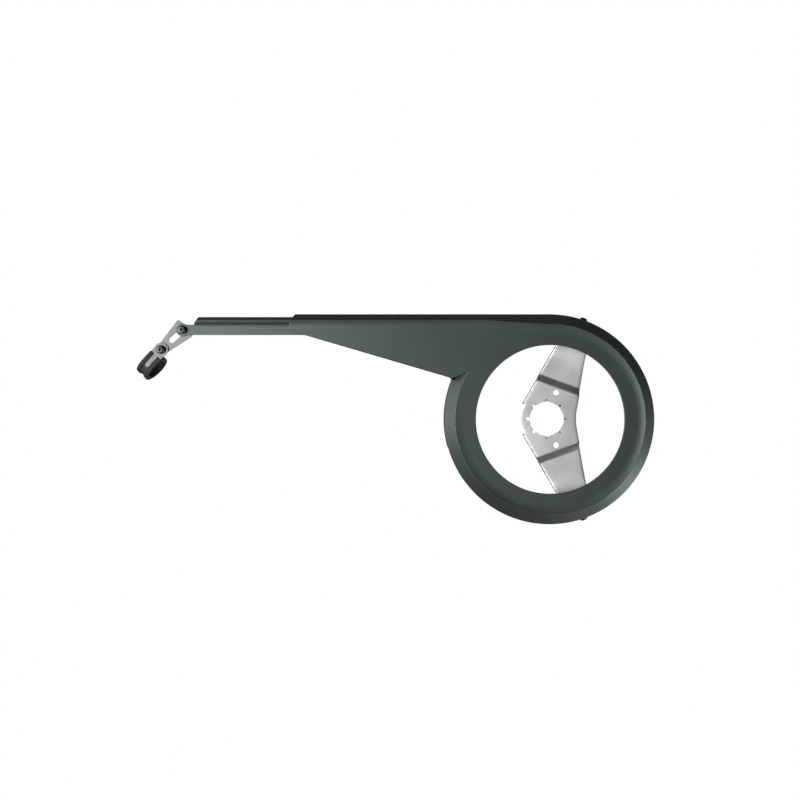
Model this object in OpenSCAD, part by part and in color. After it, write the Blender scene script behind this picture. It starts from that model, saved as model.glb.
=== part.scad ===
// Bicycle chain guard: a moulded ring and arm, a sliding rail, a slotted link and a lined clip.
// X points forward, Z up and -Y outboard. The origin is the centre of the bottom bracket hole,
// on the outboard face of its plate. "Outboard" sizes are distances from that face along -Y.

/* [Ring] */
// Outside radius of the rim
rim_r = 105.8; // [100:0.1:112]
// Radius of the window in the ring's face
window_r = 74.4; // [66:0.1:80]
// Wall thickness of the moulding
wall = 2.5; // [2:0.1:3]
// Flat face of the guard, outboard
face_out = 28; // [25:0.5:34]
// Rise of the crest above the flat face
crest_rise = 2; // [1:0.1:3]
// Depth of the bevel from the crest to the rim
bevel_drop = 10; // [7:0.1:12]
// Width of the bevel on the ring
ring_bevel_w = 10.5; // [8:0.1:13]
// Width of the hollow shoulder inside the ring's crest
ring_shoulder_w = 9; // [6:0.1:10]
// Inboard edge of the rim wall, outboard of the plate
rim_back_out = 1; // [0:0.5:3]
// Depth of the lip left under the bevel where the chain leaves
chain_gap_lip = 3; // [1:0.5:6]
// Angle at which the rim wall's gap for the lower chain run begins
chain_gap_from = 196; // [190:1:215]
// Angle at which that gap ends
chain_gap_to = 262; // [245:1:270]
// Angle over which the crest dies out in the arm's face
corner_span = 7.1; // [5:0.1:9]

/* [Arm] */
// Distance of the arm's rear end behind the ring's centre
arm_reach = 261.4; // [240:0.1:290]
// Height of the arm at its rear end
arm_end_h = 16.5; // [15:0.1:20]
// Slope of the arm's lower edge, in degrees
arm_slope = 16.39; // [14:0.01:17]
// Width of the bevel along the arm
arm_bevel_w = 6.8; // [5:0.1:8]
// Width of the shoulder along the arm
arm_shoulder_w = 7.5; // [6:0.1:9]
// Length over which the arm's bevel widens into the ring's
widening_l = 70; // [50:1:90]
// Depth of the flange under the arm
arm_flange_h = 10; // [6:0.5:14]
// Fillet between the arm's lower edge and the ring
corner_fillet_r = 3.5; // [2:0.1:6]
// Set-back of the bevel's slanted rear end
end_slant_w = 5.3; // [2:0.1:7]

/* [Extension rail] */
// Distance of the upper bolt behind the ring's centre
upper_bolt_x = 368.5; // [350:0.5:390]
// Distance of the rail's bead end behind the ring's centre
bead_end_x = 355; // [335:0.5:356]
// Distance of the rail's hidden end behind the ring's centre
rail_inner_x = 165; // [150:1:190]
// Height of the rail
rail_h = 18.2; // [17:0.1:19]
// Height of the rail's flat web
web_h = 10.3; // [9:0.1:11]
// Wall thickness of the rail
rail_wall = 2; // [1.6:0.1:2.4]
// Rise of the bead above the web
bead_rise = 1.6; // [0.8:0.1:1.8]
// Depth of the rail's top lip
rail_lip_h = 3; // [2:0.1:5]
// Sliding gap between the rail's face and the arm
slide_gap = 0.3; // [0.25:0.05:0.5]
// Gap between the top of the rail and the arm
rail_top_gap = 0.5; // [0.3:0.05:0.8]
// Radius of the boss round the upper bolt
boss_r = 6.5; // [5.5:0.1:6.8]
// Length of the guide that holds the rail
guide_l = 66; // [40:1:75]
// Thickness of the guide's ribs
guide_t = 2; // [1.5:0.1:2.5]
// Grip of the guide's ribs behind the rail
guide_grip = 3.5; // [2:0.1:4]

/* [Bracket] */
// Radius of the bottom bracket hole
shell_hole_r = 17.5; // [17:0.1:18]
// Number of bite notches round that hole
notch_count = 8; // [6:1:10]
// Depth of a bite notch
notch_h = 3; // [2:0.1:4]
// Width of a bite notch
notch_w = 3; // [2:0.1:4]
// Sheet thickness
sheet_t = 2; // [1.5:0.1:2.5]
// Radius of the plate's rounded rear edge
hub_r = 25.3; // [24:0.1:26]
// Angle of each bracket arm from the X axis
bracket_angle = 70; // [68:0.5:72]
// Distance from the hole's centre to the point where an arm's edges would meet
apex_r = 166; // [160:0.5:175]
// Half of the angle between an arm's edges
taper_angle = 10.1; // [9:0.1:10.5]
// Height at which the rear edge's flange begins
rear_step_z = 15.4; // [14:0.1:17]
// Distance along the arm where the joggle begins
joggle_from = 34.5; // [33.5:0.1:36]
// Length of the joggle
joggle_l = 5.8; // [5:0.1:8]
// Depth of the joggle
joggle_h = 4.5; // [3:0.1:6]
// Depth of the stiffening flanges, sheet included
flange_h = 4.5; // [3.5:0.1:6]
// Outboard reach of the tabs
tab_reach = 13; // [11:0.5:16]
// Inside bend radius of the tabs
tab_bend_r = 2; // [1:0.1:3]
// Radius of the two small holes
small_hole_r = 2.95; // [2.5:0.05:3.2]
// Distance of a small hole in front of the bottom bracket hole's centre
small_hole_x = 9.7; // [9:0.1:10.5]
// Spacing of the two small holes
small_hole_spacing = 54; // [53:0.5:56]
// Gap between a tab and the rim
tab_gap = 0.15; // [0.1:0.05:0.3]

/* [Rim screws] */
// Radius of a rim screw's shank
rim_screw_r = 2.5; // [2:0.05:2.6]
// Radius of a rim screw's head
rim_head_r = 3.8; // [3.6:0.1:4.5]
// Height of a rim screw's head
rim_head_h = 3.6; // [2:0.1:4]
// Height of the rim screws, outboard
rim_screw_out = 6.5; // [6:0.1:8]

/* [Link and bolts] */
// Radius of the bolts
bolt_r = 2.5; // [2.3:0.05:2.6]
// Radius of a bolt's head
head_r = 4.4; // [4:0.1:4.7]
// Height of a bolt's head
head_h = 5; // [4:0.1:6]
// Width across the flats of the hexagon socket
socket_af = 4; // [3:0.1:4]
// Depth of the hexagon socket
socket_h = 2.8; // [2:0.1:3]
// Width across the flats of a nut
nut_af = 8; // [7.5:0.1:9]
// Height of a nut
nut_h = 4; // [3:0.1:4.5]
// Outside radius of a washer
washer_r = 5; // [4.6:0.1:5.2]
// Thickness of a washer
washer_t = 1; // [0.8:0.1:1.2]
// Thickness of the link plate
link_t = 1.5; // [1.2:0.1:2]
// Distance between the two bolts at rest
bolt_spacing = 29.3; // [28:0.1:30]
// Direction from the lower bolt to the upper bolt, in degrees
link_angle = 42.8; // [38:0.1:48]
// Radius of the link's arched end
link_r = 34.5; // [33.8:0.1:36]
// Half of the angle between the link's edges
link_taper = 10.1; // [8:0.1:12]
// Half width of the link at the lower bolt
link_end_r = 5.3; // [5:0.1:6]
// Radius of the link's outer corners
link_corner_r = 2; // [1:0.1:2.5]
// Width of the slot
slot_w = 5.8; // [5.6:0.1:6]
// Travel of the upper bolt in the slot
slot_travel = 15.1; // [10:0.1:15.2]
// Gap between the link and the pieces that turn on it
link_gap = 0.1; // [0.05:0.05:0.2]
// Radial gap of a bolt in its hole
bolt_gap = 0.25; // [0.15:0.05:0.3]

/* [Clip] */
// Direction of the clip from the lower bolt, in degrees
clip_angle = 227; // [215:0.5:240]
// Twist of the clip's band, in degrees
clip_twist = 7; // [0:0.5:8]
// Radius of the clip's bore
clip_bore_r = 10.5; // [9:0.1:11]
// Thickness of the rubber inside the band
lining_t = 1.4; // [1:0.1:1.6]
// Thickness of the rubber lips over the band
lip_t = 0.7; // [0.5:0.1:1]
// Thickness of the band
band_t = 1; // [0.8:0.1:1.2]
// Width of the band
band_w = 13; // [12:0.1:13.5]
// Width of the rubber
rubber_w = 14.5; // [14:0.1:16]
// Width of the steel strip left bare between the lips
bare_w = 4.8; // [3:0.1:6]
// Distance from the lower bolt to the clip's centre
clip_reach = 19; // [18.8:0.1:22]
// Radius of the ears round the lower bolt
ear_r = 7; // [6.5:0.1:7]
// Radius of the bend between the rear ear and the ring
neck_r = 3; // [2:0.1:3.5]
// Distance from the lower bolt at which the lips begin
lips_from = 5.3; // [5:0.1:6]

/* [Hidden] */
$fn = 96;

black_plastic = [0.19, 0.23, 0.22];
black_steel = [0.12, 0.14, 0.14];
bare_steel = [0.75, 0.77, 0.76];
grey_steel = [0.64, 0.65, 0.65];
black_rubber = [0.09, 0.1, 0.1];

over = 1;
thread_gap = 0.05;

// Levels of the moulding, outboard
crest_out = face_out + crest_rise;
rim_front_out = crest_out - bevel_drop;
face_in = face_out - wall;

// Places along the arm. X is negative behind the ring's centre.
arm_end_x = -arm_reach;
arm_top_z = rim_r;
arm_end_z = arm_top_z - arm_end_h;
ring_inner_s = rim_r - window_r;

// Levels and places of the rail
rail_front_out = face_in - slide_gap;
rail_back_out = rail_front_out - rail_wall;
rail_top_z = arm_top_z - wall - rail_top_gap;
rail_bottom_z = rail_top_z - rail_h;
web_top_z = rail_bottom_z + web_h;
upper_bolt_z = rail_bottom_z + web_h / 2;
lower_bolt_x = -upper_bolt_x - bolt_spacing * cos(link_angle);
lower_bolt_z = upper_bolt_z - bolt_spacing * sin(link_angle);

// Levels of the link and of the clip's ears
link_front_out = rail_back_out - link_gap;
link_back_out = link_front_out - link_t;
ear_back_out = link_front_out + link_gap;
ear_front_out = ear_back_out + 2 * band_t;
band_outer_r = clip_bore_r + lining_t + band_t;
band_inner_r = clip_bore_r + lining_t;
lip_r = band_outer_r + lip_t;

// Places of the bracket
arm_front_out = -joggle_h;
arm_back_out = -joggle_h - sheet_t;
tab_outer_r = rim_r - wall - tab_gap;
tab_inner_r = tab_outer_r - sheet_t;
tab_half_angle = asin((apex_r - tab_outer_r) * tan(taper_angle) / tab_outer_r);
nut_seat_r = sqrt(tab_inner_r * tab_inner_r - nut_af * nut_af / 3) - thread_gap;

// Corner between the arm's lower edge and the ring's rim, and the fillet that fills it
edge_dir = [cos(arm_slope), -sin(arm_slope)];
edge_low = [-sin(arm_slope), -cos(arm_slope)];
edge_start = [arm_end_x, arm_end_z];
edge_offset = dot(edge_start, edge_low);
fillet_along = -sqrt((rim_r + corner_fillet_r) ^ 2 - (edge_offset + corner_fillet_r) ^ 2);
fillet_centre = fillet_along * edge_dir + (edge_offset + corner_fillet_r) * edge_low;
fillet_on_edge = fillet_centre - corner_fillet_r * edge_low;
fillet_on_rim = fillet_centre * rim_r / (rim_r + corner_fillet_r);
fillet_root = fillet_on_rim * (rim_r - wall / 2) / rim_r;
corner_back = 1.4;
corner_angle = atan2(fillet_on_rim[1], fillet_on_rim[0]) - corner_back;
crest_end = corner_angle - corner_span;
inner_knee_out = inner_bevel_out(ring_bevel_w, wall);
join_turn = 1;
join_l = 1;
skin_in = 0.1;

// Rail section's levels, parallel to the inside of the arm's bevel
rail_corner_h = 0.4;
bead_crest_in = 0.9;
bead_start_in = 0.7;
rail_bevel_top_z = rail_top_z - rail_corner_h;
rail_bevel_end_out = rail_bevel_out(rail_bevel_top_z);
rail_lip_out = rail_bevel_end_out - rail_lip_h;
bead_crest_out = rail_front_out + bead_rise;
bead_crest_z = arm_top_z - arm_bevel_w - bead_crest_in;
guide_from_x = arm_end_x + (arm_top_z - rail_bottom_z + slide_gap + guide_t - arm_end_h) / tan(arm_slope) + guide_t;

// Places of the stack behind the link, and of the clip's neck
stack_back_out = link_back_out - link_gap - washer_t;
slant = joggle_h / (joggle_l + sqrt(joggle_l ^ 2 + joggle_h ^ 2));
clip_centre = [clip_reach, band_outer_r];
band_mid_r = band_outer_r - band_t / 2;
neck_depth = band_t * 1.5 + neck_r;
neck_x = clip_reach - sqrt((band_mid_r + neck_r) ^ 2 - (clip_centre[1] - neck_depth) ^ 2);
neck_angle = atan2(clip_centre[1] - neck_depth, clip_reach - neck_x);
bend_first = 12;
bend_last = 8;
rubber_gap = 0.05;
neck_start_in = lips_from + 2 * band_t;

function lower_edge_z(x) = arm_end_z - (x - arm_end_x) * tan(arm_slope);
function between(a, b, share) = a + (b - a) * share;
function dot(a, b) = a[0] * b[0] + a[1] * b[1];
function rail_bevel_out(z) = inner_bevel_out(arm_bevel_w, arm_top_z - z) - slide_gap * bevel_l(arm_bevel_w) / arm_bevel_w;
function smooth(t) = t * t * (3 - 2 * t);
function half_width(r) = (apex_r - r) * tan(taper_angle);

// Drawing frame to model frame: x stays, y becomes Z, z becomes outboard.
module outboard() rotate([90, 0, 0]) children();

// Draws an outline as a slab between two outboard levels.
module slab(from, to) translate([0, 0, from]) linear_extrude(to - from) children();

// Sweeps a section of height (x) and outboard level (y) along the model's X axis.
module along_x(from, to) translate([from, 0, 0]) rotate([90, 0, 90]) linear_extrude(to - from) children();

// Turns a section of radius (x) and outboard level (y) about the ring's axis.
module turn(from, to) rotate([0, 0, from]) rotate_extrude(angle = to - from) children();

// Points a child's z axis radially outward at an angle, a radius and an outboard level.
module radial(angle, r, out) rotate([0, 0, angle]) translate([r, 0, out]) rotate([0, 90, 0]) children();

// Moulded section. Each point is the distance in from the outer edge, and the outboard level.
shoulder_shares = [0.25, 0.5, 0.75, 1];
function shoulder_out(share) = face_out + crest_rise * (1 - share) * (1 - share);
function bevel_l(bevel_w) = sqrt(bevel_w * bevel_w + bevel_drop * bevel_drop);
function inner_bevel_out(bevel_w, s) =
    rim_front_out + (s * bevel_drop - wall * bevel_l(bevel_w)) / bevel_w;
function inner_crest_s(bevel_w) = (bevel_drop - wall + wall * bevel_l(bevel_w) / bevel_w) * bevel_w / bevel_drop;
function outer_chain(bevel_w, shoulder_w, last_s) = concat(
    [[0, rim_back_out], [0, rim_front_out], [bevel_w, crest_out]],
    [for (share = shoulder_shares) [bevel_w + shoulder_w * share, shoulder_out(share)]],
    [[last_s, face_out]]
);
function inner_chain(bevel_w, shoulder_w, last_s) = concat(
    [
        [wall, rim_back_out],
        [wall, inner_bevel_out(bevel_w, wall)],
        [inner_crest_s(bevel_w), crest_out - wall]
    ],
    [for (share = shoulder_shares) [bevel_w + shoulder_w * share, shoulder_out(share) - wall]],
    [[last_s, face_in]]
);
function reversed(list) = [for (i = [len(list) - 1:-1:0]) list[i]];

// Joins sections of equal point count, each an outer chain and an inner chain.
module loft(sections) {
    count = len(sections[0]);
    half = count / 2;
    last = (len(sections) - 1) * count;
    side_faces = [
        for (s = [0:len(sections) - 2]) for (i = [0:count - 1])
            let (a = s * count + i, b = s * count + (i + 1) % count)
                each [[a, a + count, b], [b, a + count, b + count]]
    ];
    cap_faces = [
        for (i = [0:half - 2])
            let (a = i, b = i + 1, c = count - 2 - i, d = count - 1 - i)
                each [
                    [a, b, d], [b, c, d],
                    [last + a, last + d, last + b], [last + b, last + d, last + c]
                ]
    ];
    polyhedron(points = [for (section = sections) each section], faces = concat(side_faces, cap_faces));
}

module ring_section() {
    last_s = ring_inner_s;
    outer = outer_chain(ring_bevel_w, ring_shoulder_w, last_s);
    inner = inner_chain(ring_bevel_w, ring_shoulder_w, last_s);
    polygon([for (p = concat(outer, reversed(inner))) [rim_r - p[0], p[1]]]);
}

module arm_section() {
    last_s = arm_bevel_w + arm_shoulder_w + over;
    outer = outer_chain(arm_bevel_w, arm_shoulder_w, last_s);
    inner = inner_chain(arm_bevel_w, arm_shoulder_w, last_s);
    polygon([for (p = concat(outer, reversed(inner))) [arm_top_z - p[0], p[1]]]);
}

// The arm's bevel and shoulder widen into the ring's.
widening_steps = 8;
module widening() {
    steps = concat(
        [[-widening_l - join_l, 0]],
        [for (i = [1:widening_steps - 1]) [widening_l * (i / widening_steps - 1), smooth(i / widening_steps)]],
        [[join_l, 1]]
    );
    loft([
        for (step = steps)
            let (
                bevel_w = between(arm_bevel_w, ring_bevel_w, step[1]),
                shoulder_w = between(arm_shoulder_w, ring_shoulder_w, step[1])
            )
                [
                    for (p = concat(
                        skin_chain(bevel_w, shoulder_w, skin_in),
                        reversed(skin_chain(bevel_w, shoulder_w, wall - skin_in))
                    ))
                        [step[0], arm_top_z - p[0], p[1]]
                ]
    ]);
}

// A line through the wall along the section, at a depth below its outer skin
function skin_chain(bevel_w, shoulder_w, depth) =
    let (
        last_s = bevel_w + shoulder_w + over,
        outer = outer_chain(bevel_w, shoulder_w, last_s),
        inner = inner_chain(bevel_w, shoulder_w, last_s)
    )
    [for (i = [0:len(outer) - 1]) between(outer[i], inner[i], depth / wall) + [0, i == 0 ? skin_in : 0]];

module corner_outline() {
    difference() {
        polygon([fillet_on_edge, fillet_on_rim, fillet_root, fillet_on_edge + wall * (edge_dir - edge_low)]);
        translate(fillet_centre) circle(corner_fillet_r);
    }
}

// The bevel and crest of the ring die out in the arm's flat face.
fade_steps = 6;
module crest_fade() {
    steps = concat(
        [[corner_angle + join_turn, 1]],
        [for (i = [1:fade_steps - 1]) let (t = 1 - i / fade_steps) [crest_end + corner_span * t, smooth(t)]],
        [[crest_end - join_turn, 0]]
    );
    loft([
        for (step = steps)
            let (angle = step[0], m = step[1])
                [
                    for (p = concat(fade_chain(m, skin_in), reversed(fade_chain(m, wall - skin_in))))
                        [(rim_r - p[0]) * cos(angle), (rim_r - p[0]) * sin(angle), p[1]]
                ]
    ]);
}

// One line through the wall of the fading crest, at a depth below its outer skin
function fade_chain(m, depth) = concat(
    [
        [depth, between(face_out, rim_front_out, m) + depth / wall * between(-wall, inner_knee_out - rim_front_out, m)],
        [between(ring_bevel_w, inner_crest_s(ring_bevel_w), depth / wall), face_out - depth + crest_rise * m]
    ],
    [
        for (share = shoulder_shares)
            [ring_bevel_w + ring_shoulder_w * share, between(face_out, shoulder_out(share), m) - depth]
    ],
    [[ring_inner_s - min(depth, wall - depth), face_out - depth]]
);

// Flat face of the arm and of the ring's sector that the arm covers
module face_outline() {
    difference() {
        polygon([
            edge_start,
            [arm_end_x, arm_top_z - arm_bevel_w - arm_shoulder_w],
            [-widening_l, arm_top_z - arm_bevel_w - arm_shoulder_w],
            [join_l, arm_top_z - ring_bevel_w - ring_shoulder_w - over / 2],
            [join_l, 0],
            [0, 0],
            (rim_r - ring_bevel_w - ring_shoulder_w) * [cos(crest_end), sin(crest_end)],
            (rim_r + wall / 2) * [cos(crest_end), sin(crest_end)],
            (rim_r + wall / 2) * [cos(corner_angle - corner_span / 2), sin(corner_angle - corner_span / 2)],
            fillet_on_edge
        ]);
        circle(window_r + skin_in);
    }
}

// Region of the drawing above the arm's lower edge
module above_edge() {
    far = rim_r * 2;
    polygon([
        edge_start - far * edge_dir, edge_start + 2 * far * edge_dir,
        edge_start + 2 * far * edge_dir - far * edge_low, edge_start - far * edge_dir - far * edge_low
    ]);
}

// Flange under the arm, from the guide's rear end to the corner
module arm_flange() {
    start = [guide_from_x, lower_edge_z(guide_from_x)];
    slab(face_out - arm_flange_h, face_out)
        polygon([start, fillet_on_edge, fillet_on_edge - wall * edge_low, start - wall * edge_low]);
}

// Ribs behind the rail: a channel under the web, and a lip behind the rail's top
module rail_guide() {
    channel_top_z = rail_bottom_z - slide_gap;
    channel_back_out = rail_back_out - slide_gap;
    lip_out = rail_lip_out - slide_gap;
    guide_to_x = guide_from_x + guide_l;
    along_x(guide_from_x, guide_to_x)
        polygon([
            [channel_top_z, face_in + wall / 2],
            [channel_top_z, channel_back_out],
            [channel_top_z + guide_grip, channel_back_out],
            [channel_top_z + guide_grip, channel_back_out - guide_t],
            [channel_top_z - guide_t, channel_back_out - guide_t],
            [channel_top_z - guide_t, face_in + wall / 2]
        ]);
    along_x(guide_from_x, guide_to_x)
        polygon([
            [arm_top_z - wall / 2, lip_out],
            [arm_top_z - wall - rail_top_gap - guide_grip, lip_out],
            [arm_top_z - wall - rail_top_gap - guide_grip, lip_out - guide_t],
            [arm_top_z - wall / 2, lip_out - guide_t]
        ]);
}

module guard_shell() {
    lip_back_out = rim_front_out - chain_gap_lip;
    color(black_plastic) outboard() difference() {
        union() {
            turn(corner_angle, 450) ring_section();
            along_x(arm_end_x, -widening_l) arm_section();
            widening();
            crest_fade();
            slab(face_in, face_out) face_outline();
            intersection() {
                turn(crest_end - join_turn / 2, corner_angle)
                    translate([rim_r - wall / 5, face_in - bevel_drop]) square([wall, bevel_drop + wall]);
                slab(0, crest_out) above_edge();
            }
            slab(face_out - arm_flange_h, (rim_front_out + face_out) / 2) corner_outline();
            arm_flange();
            rail_guide();
        }
        turn(chain_gap_from, chain_gap_to)
            translate([rim_r - wall - over, rim_back_out - over])
                square([wall + 2 * over, lip_back_out - rim_back_out + over]);
        slab(rim_back_out - over, crest_out + over)
            polygon([
                [arm_end_x - over, arm_top_z + over],
                [arm_end_x + end_slant_w, arm_top_z + over],
                [arm_end_x + end_slant_w, arm_top_z],
                [arm_end_x, arm_top_z - arm_bevel_w - over],
                [arm_end_x - over, arm_top_z - arm_bevel_w - over]
            ]);
        for (angle = [-bracket_angle, bracket_angle])
            radial(angle, rim_r - wall - over, rim_screw_out) cylinder(r = rim_screw_r + bolt_gap, h = wall + 2 * over);
    }
}

// Plan of the upper half of the bracket, without its hub
module bracket_plan(inset) {
    difference() {
        intersection() {
            rotate(bracket_angle)
                polygon([
                    [-hub_r, half_width(-hub_r) - inset], [tab_outer_r, half_width(tab_outer_r) - inset],
                    [tab_outer_r, -half_width(tab_outer_r) + inset], [-hub_r, -half_width(-hub_r) + inset]
                ]);
            translate([-rim_r, 0]) square([2 * rim_r, rim_r]);
        }
        translate([-rim_r, -over]) square([rim_r, rear_step_z + over]);
    }
}

// Side view of one arm: the sheet, or the depth that its flanges fill
module arm_side(depth, reach) {
    rotate([0, 0, bracket_angle]) rotate([90, 0, 0]) translate([0, 0, -rim_r]) linear_extrude(2 * rim_r)
        polygon([
            [-hub_r, 0], [joggle_from, 0], [joggle_from + joggle_l, arm_front_out], [reach, arm_front_out],
            [reach, arm_front_out - depth], [joggle_from + joggle_l - depth * slant, arm_front_out - depth],
            [joggle_from - depth * slant, -depth], [-hub_r, -depth]
        ]);
}
function arc(centre, r, from, to, steps) =
    [for (i = [0:steps]) let (a = from + (to - from) * i / steps) centre + r * [cos(a), sin(a)]];

bend_steps = 6;
module bracket_arm() {
    bend_outer_r = tab_bend_r + sheet_t;
    bend_centre = [tab_outer_r - bend_outer_r, arm_back_out + bend_outer_r];
    straight_to = bend_centre[0] - tab_outer_r * (1 - cos(tab_half_angle));
    intersection() {
        arm_side(sheet_t, straight_to + over);
        slab(-rim_r, rim_r) bracket_plan(0);
    }
    intersection() {
        arm_side(flange_h, straight_to);
        slab(-rim_r, rim_r) difference() {
            bracket_plan(0);
            bracket_plan(sheet_t);
        }
    }
    difference() {
        turn(bracket_angle - tab_half_angle, bracket_angle + tab_half_angle)
            polygon(concat(
                [[straight_to, arm_back_out]],
                arc(bend_centre, bend_outer_r, 270, 360, bend_steps),
                [[tab_outer_r, tab_reach], [tab_inner_r, tab_reach]],
                arc(bend_centre, tab_bend_r, 360, 270, bend_steps),
                [[straight_to, arm_front_out]]
            ));
        radial(bracket_angle, tab_inner_r - 2 * over, rim_screw_out)
            cylinder(r = rim_screw_r + bolt_gap, h = sheet_t + 4 * over);
    }
}

module bottom_bracket_plate() {
    color(bare_steel) outboard() difference() {
        union() {
            slab(-sheet_t, 0) circle(hub_r);
            bracket_arm();
            mirror([0, 1, 0]) bracket_arm();
        }
        translate([0, 0, -sheet_t - over]) cylinder(r = shell_hole_r, h = sheet_t + 2 * over);
        for (i = [0:notch_count - 1])
            rotate(i * 360 / notch_count)
                translate([0, -notch_w / 2, -sheet_t - over])
                    cube([shell_hole_r + notch_h, notch_w, sheet_t + 2 * over]);
        for (side = [-1, 1])
            translate([small_hole_x, side * small_hole_spacing / 2, -sheet_t - over])
                cylinder(r = small_hole_r, h = sheet_t + 2 * over);
    }
}

module rim_screw(angle) {
    shank_l = rim_r - nut_seat_r + nut_h + over;
    color(black_steel) outboard() radial(angle, rim_r, rim_screw_out) difference() {
        union() {
            translate([0, 0, -shank_l]) cylinder(r = rim_screw_r, h = shank_l + rim_head_h / 2);
            cylinder(r1 = rim_head_r, r2 = rim_head_r * 0.8, h = rim_head_h);
        }
        translate([0, 0, rim_head_h / 2]) cylinder(r = rim_screw_r * 0.6, h = rim_head_h, $fn = 6);
    }
}

module hex_nut() {
    difference() {
        cylinder(r = nut_af / sqrt(3), h = nut_h, $fn = 6);
        translate([0, 0, -over]) cylinder(r = bolt_r + thread_gap, h = nut_h + 2 * over);
    }
}

module rim_nut(angle) {
    color(bare_steel) outboard() radial(angle, nut_seat_r - nut_h, rim_screw_out) difference() {
        cylinder(r = nut_af / sqrt(3), h = nut_h, $fn = 6);
        translate([0, 0, -over]) cylinder(r = rim_screw_r + thread_gap, h = nut_h + 2 * over);
    }
}

// Rail section, of height and outboard level, parallel to the arm's own section
module rail_section() {
    bead_start_z = web_top_z + bead_start_in;
    bevel_in = rail_wall * bevel_l(arm_bevel_w) / arm_bevel_w;
    bead_mid_z = (bead_start_z + bead_crest_z) / 2;
    bevel_start_z = bead_crest_z + bead_crest_in;
    polygon([
        [rail_bottom_z, rail_front_out],
        [web_top_z, rail_front_out],
        [bead_start_z, rail_front_out + bead_rise / 8],
        [bead_mid_z, rail_front_out + bead_rise * 0.8],
        [bead_crest_z, min(bead_crest_out, rail_bevel_out(bead_crest_z))],
        [bevel_start_z, min(bead_crest_out, rail_bevel_out(bevel_start_z))],
        [rail_bevel_top_z, rail_bevel_end_out],
        [rail_top_z, rail_bevel_end_out - rail_corner_h],
        [rail_top_z, rail_lip_out],
        [rail_top_z - rail_wall, rail_lip_out],
        [rail_top_z - rail_wall, rail_bevel_out(rail_top_z - rail_wall) - bevel_in],
        [bevel_start_z - rail_wall / 2, rail_back_out + bead_rise / 2],
        [bead_mid_z - rail_wall / 2, rail_back_out],
        [rail_bottom_z, rail_back_out]
    ]);
}

module extension_rail() {
    bead_slant_w = 4;
    color(black_plastic) outboard() difference() {
        union() {
            difference() {
                along_x(-bead_end_x - bead_slant_w / 2, -rail_inner_x) rail_section();
                slab(rail_lip_out - over, crest_out)
                    polygon([
                        [-bead_end_x - bead_slant_w, web_top_z],
                        [-bead_end_x - bead_slant_w / 2, web_top_z],
                        [-bead_end_x + bead_slant_w / 2, rail_top_z],
                        [-bead_end_x + bead_slant_w / 2, rail_top_z + over],
                        [-bead_end_x - bead_slant_w, rail_top_z + over]
                    ]);
            }
            slab(rail_back_out, rail_front_out) {
                translate([-upper_bolt_x, upper_bolt_z]) circle(boss_r);
                translate([-upper_bolt_x, rail_bottom_z]) square([upper_bolt_x - bead_end_x + over, web_h]);
            }
        }
        translate([-upper_bolt_x, upper_bolt_z, rail_back_out - over])
            cylinder(r = bolt_r + thread_gap, h = rail_wall + 2 * over);
    }
}

// Socket cap screw whose head seats at z = 0 and whose shank goes down
module cap_screw(shank_l) {
    chamfer_h = head_h / 8;
    difference() {
        union() {
            translate([0, 0, -shank_l]) cylinder(r = bolt_r, h = shank_l + head_h / 2);
            cylinder(r = head_r, h = head_h - chamfer_h);
            translate([0, 0, head_h - chamfer_h]) cylinder(r1 = head_r, r2 = head_r - chamfer_h, h = chamfer_h);
        }
        translate([0, 0, head_h - socket_h]) cylinder(r = socket_af / sqrt(3), h = socket_h + over, $fn = 6);
    }
}

module washer() {
    difference() {
        cylinder(r = washer_r, h = washer_t);
        translate([0, 0, -over]) cylinder(r = bolt_r + thread_gap, h = washer_t + 2 * over);
    }
}

module upper_bolt() {
    color(black_steel) outboard() translate([-upper_bolt_x, upper_bolt_z, rail_front_out])
        cap_screw(rail_front_out - stack_back_out + nut_h + over);
}

module upper_washer() {
    color(bare_steel) outboard() translate([-upper_bolt_x, upper_bolt_z, stack_back_out]) washer();
}

module upper_nut() {
    color(bare_steel) outboard() translate([-upper_bolt_x, upper_bolt_z, stack_back_out - nut_h]) hex_nut();
}

module lower_bolt() {
    color(black_steel) outboard() translate([lower_bolt_x, lower_bolt_z, ear_front_out + link_gap])
        cap_screw(ear_front_out + link_gap - link_back_out + washer_t + nut_h + over);
}

module lower_washer() {
    color(bare_steel) outboard() translate([lower_bolt_x, lower_bolt_z, link_back_out - washer_t]) washer();
}

module lower_nut() {
    color(bare_steel) outboard()
        translate([lower_bolt_x, lower_bolt_z, link_back_out - washer_t - nut_h]) hex_nut();
}

// Link outline, with the lower bolt at the origin and the upper bolt along x
module link_outline() {
    circle(link_end_r);
    offset(r = link_corner_r) offset(delta = -link_corner_r) intersection() {
        circle(link_r);
        polygon([
            [-link_end_r, 0], [0, link_end_r], [link_r, link_end_r + link_r * tan(link_taper)],
            [link_r, -link_end_r - link_r * tan(link_taper)], [0, -link_end_r]
        ]);
    }
}

module link_plate() {
    slot_inner = bolt_spacing - slot_travel;
    color(grey_steel) outboard() translate([lower_bolt_x, lower_bolt_z, link_back_out]) rotate(link_angle)
        difference() {
            linear_extrude(link_t) link_outline();
            translate([0, 0, -over]) cylinder(r = bolt_r + thread_gap, h = link_t + 2 * over);
            for (place = [slot_inner, bolt_spacing])
                translate([place, 0, -over]) cylinder(r = slot_w / 2, h = link_t + 2 * over);
            translate([slot_inner, -slot_w / 2, -over]) cube([slot_travel, slot_w, link_t + 2 * over]);
        }
}

// Clip frame: x runs from the lower bolt towards the ring's centre, y across the band and z outboard,
// with z = 0 on the front ear's outer face. The ring is turned about the band's centre line.
module clip_frame() {
    outboard() translate([lower_bolt_x, lower_bolt_z, ear_front_out]) rotate(clip_angle) children();
}

module twisted() rotate([clip_twist, 0, 0]) children();

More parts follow.
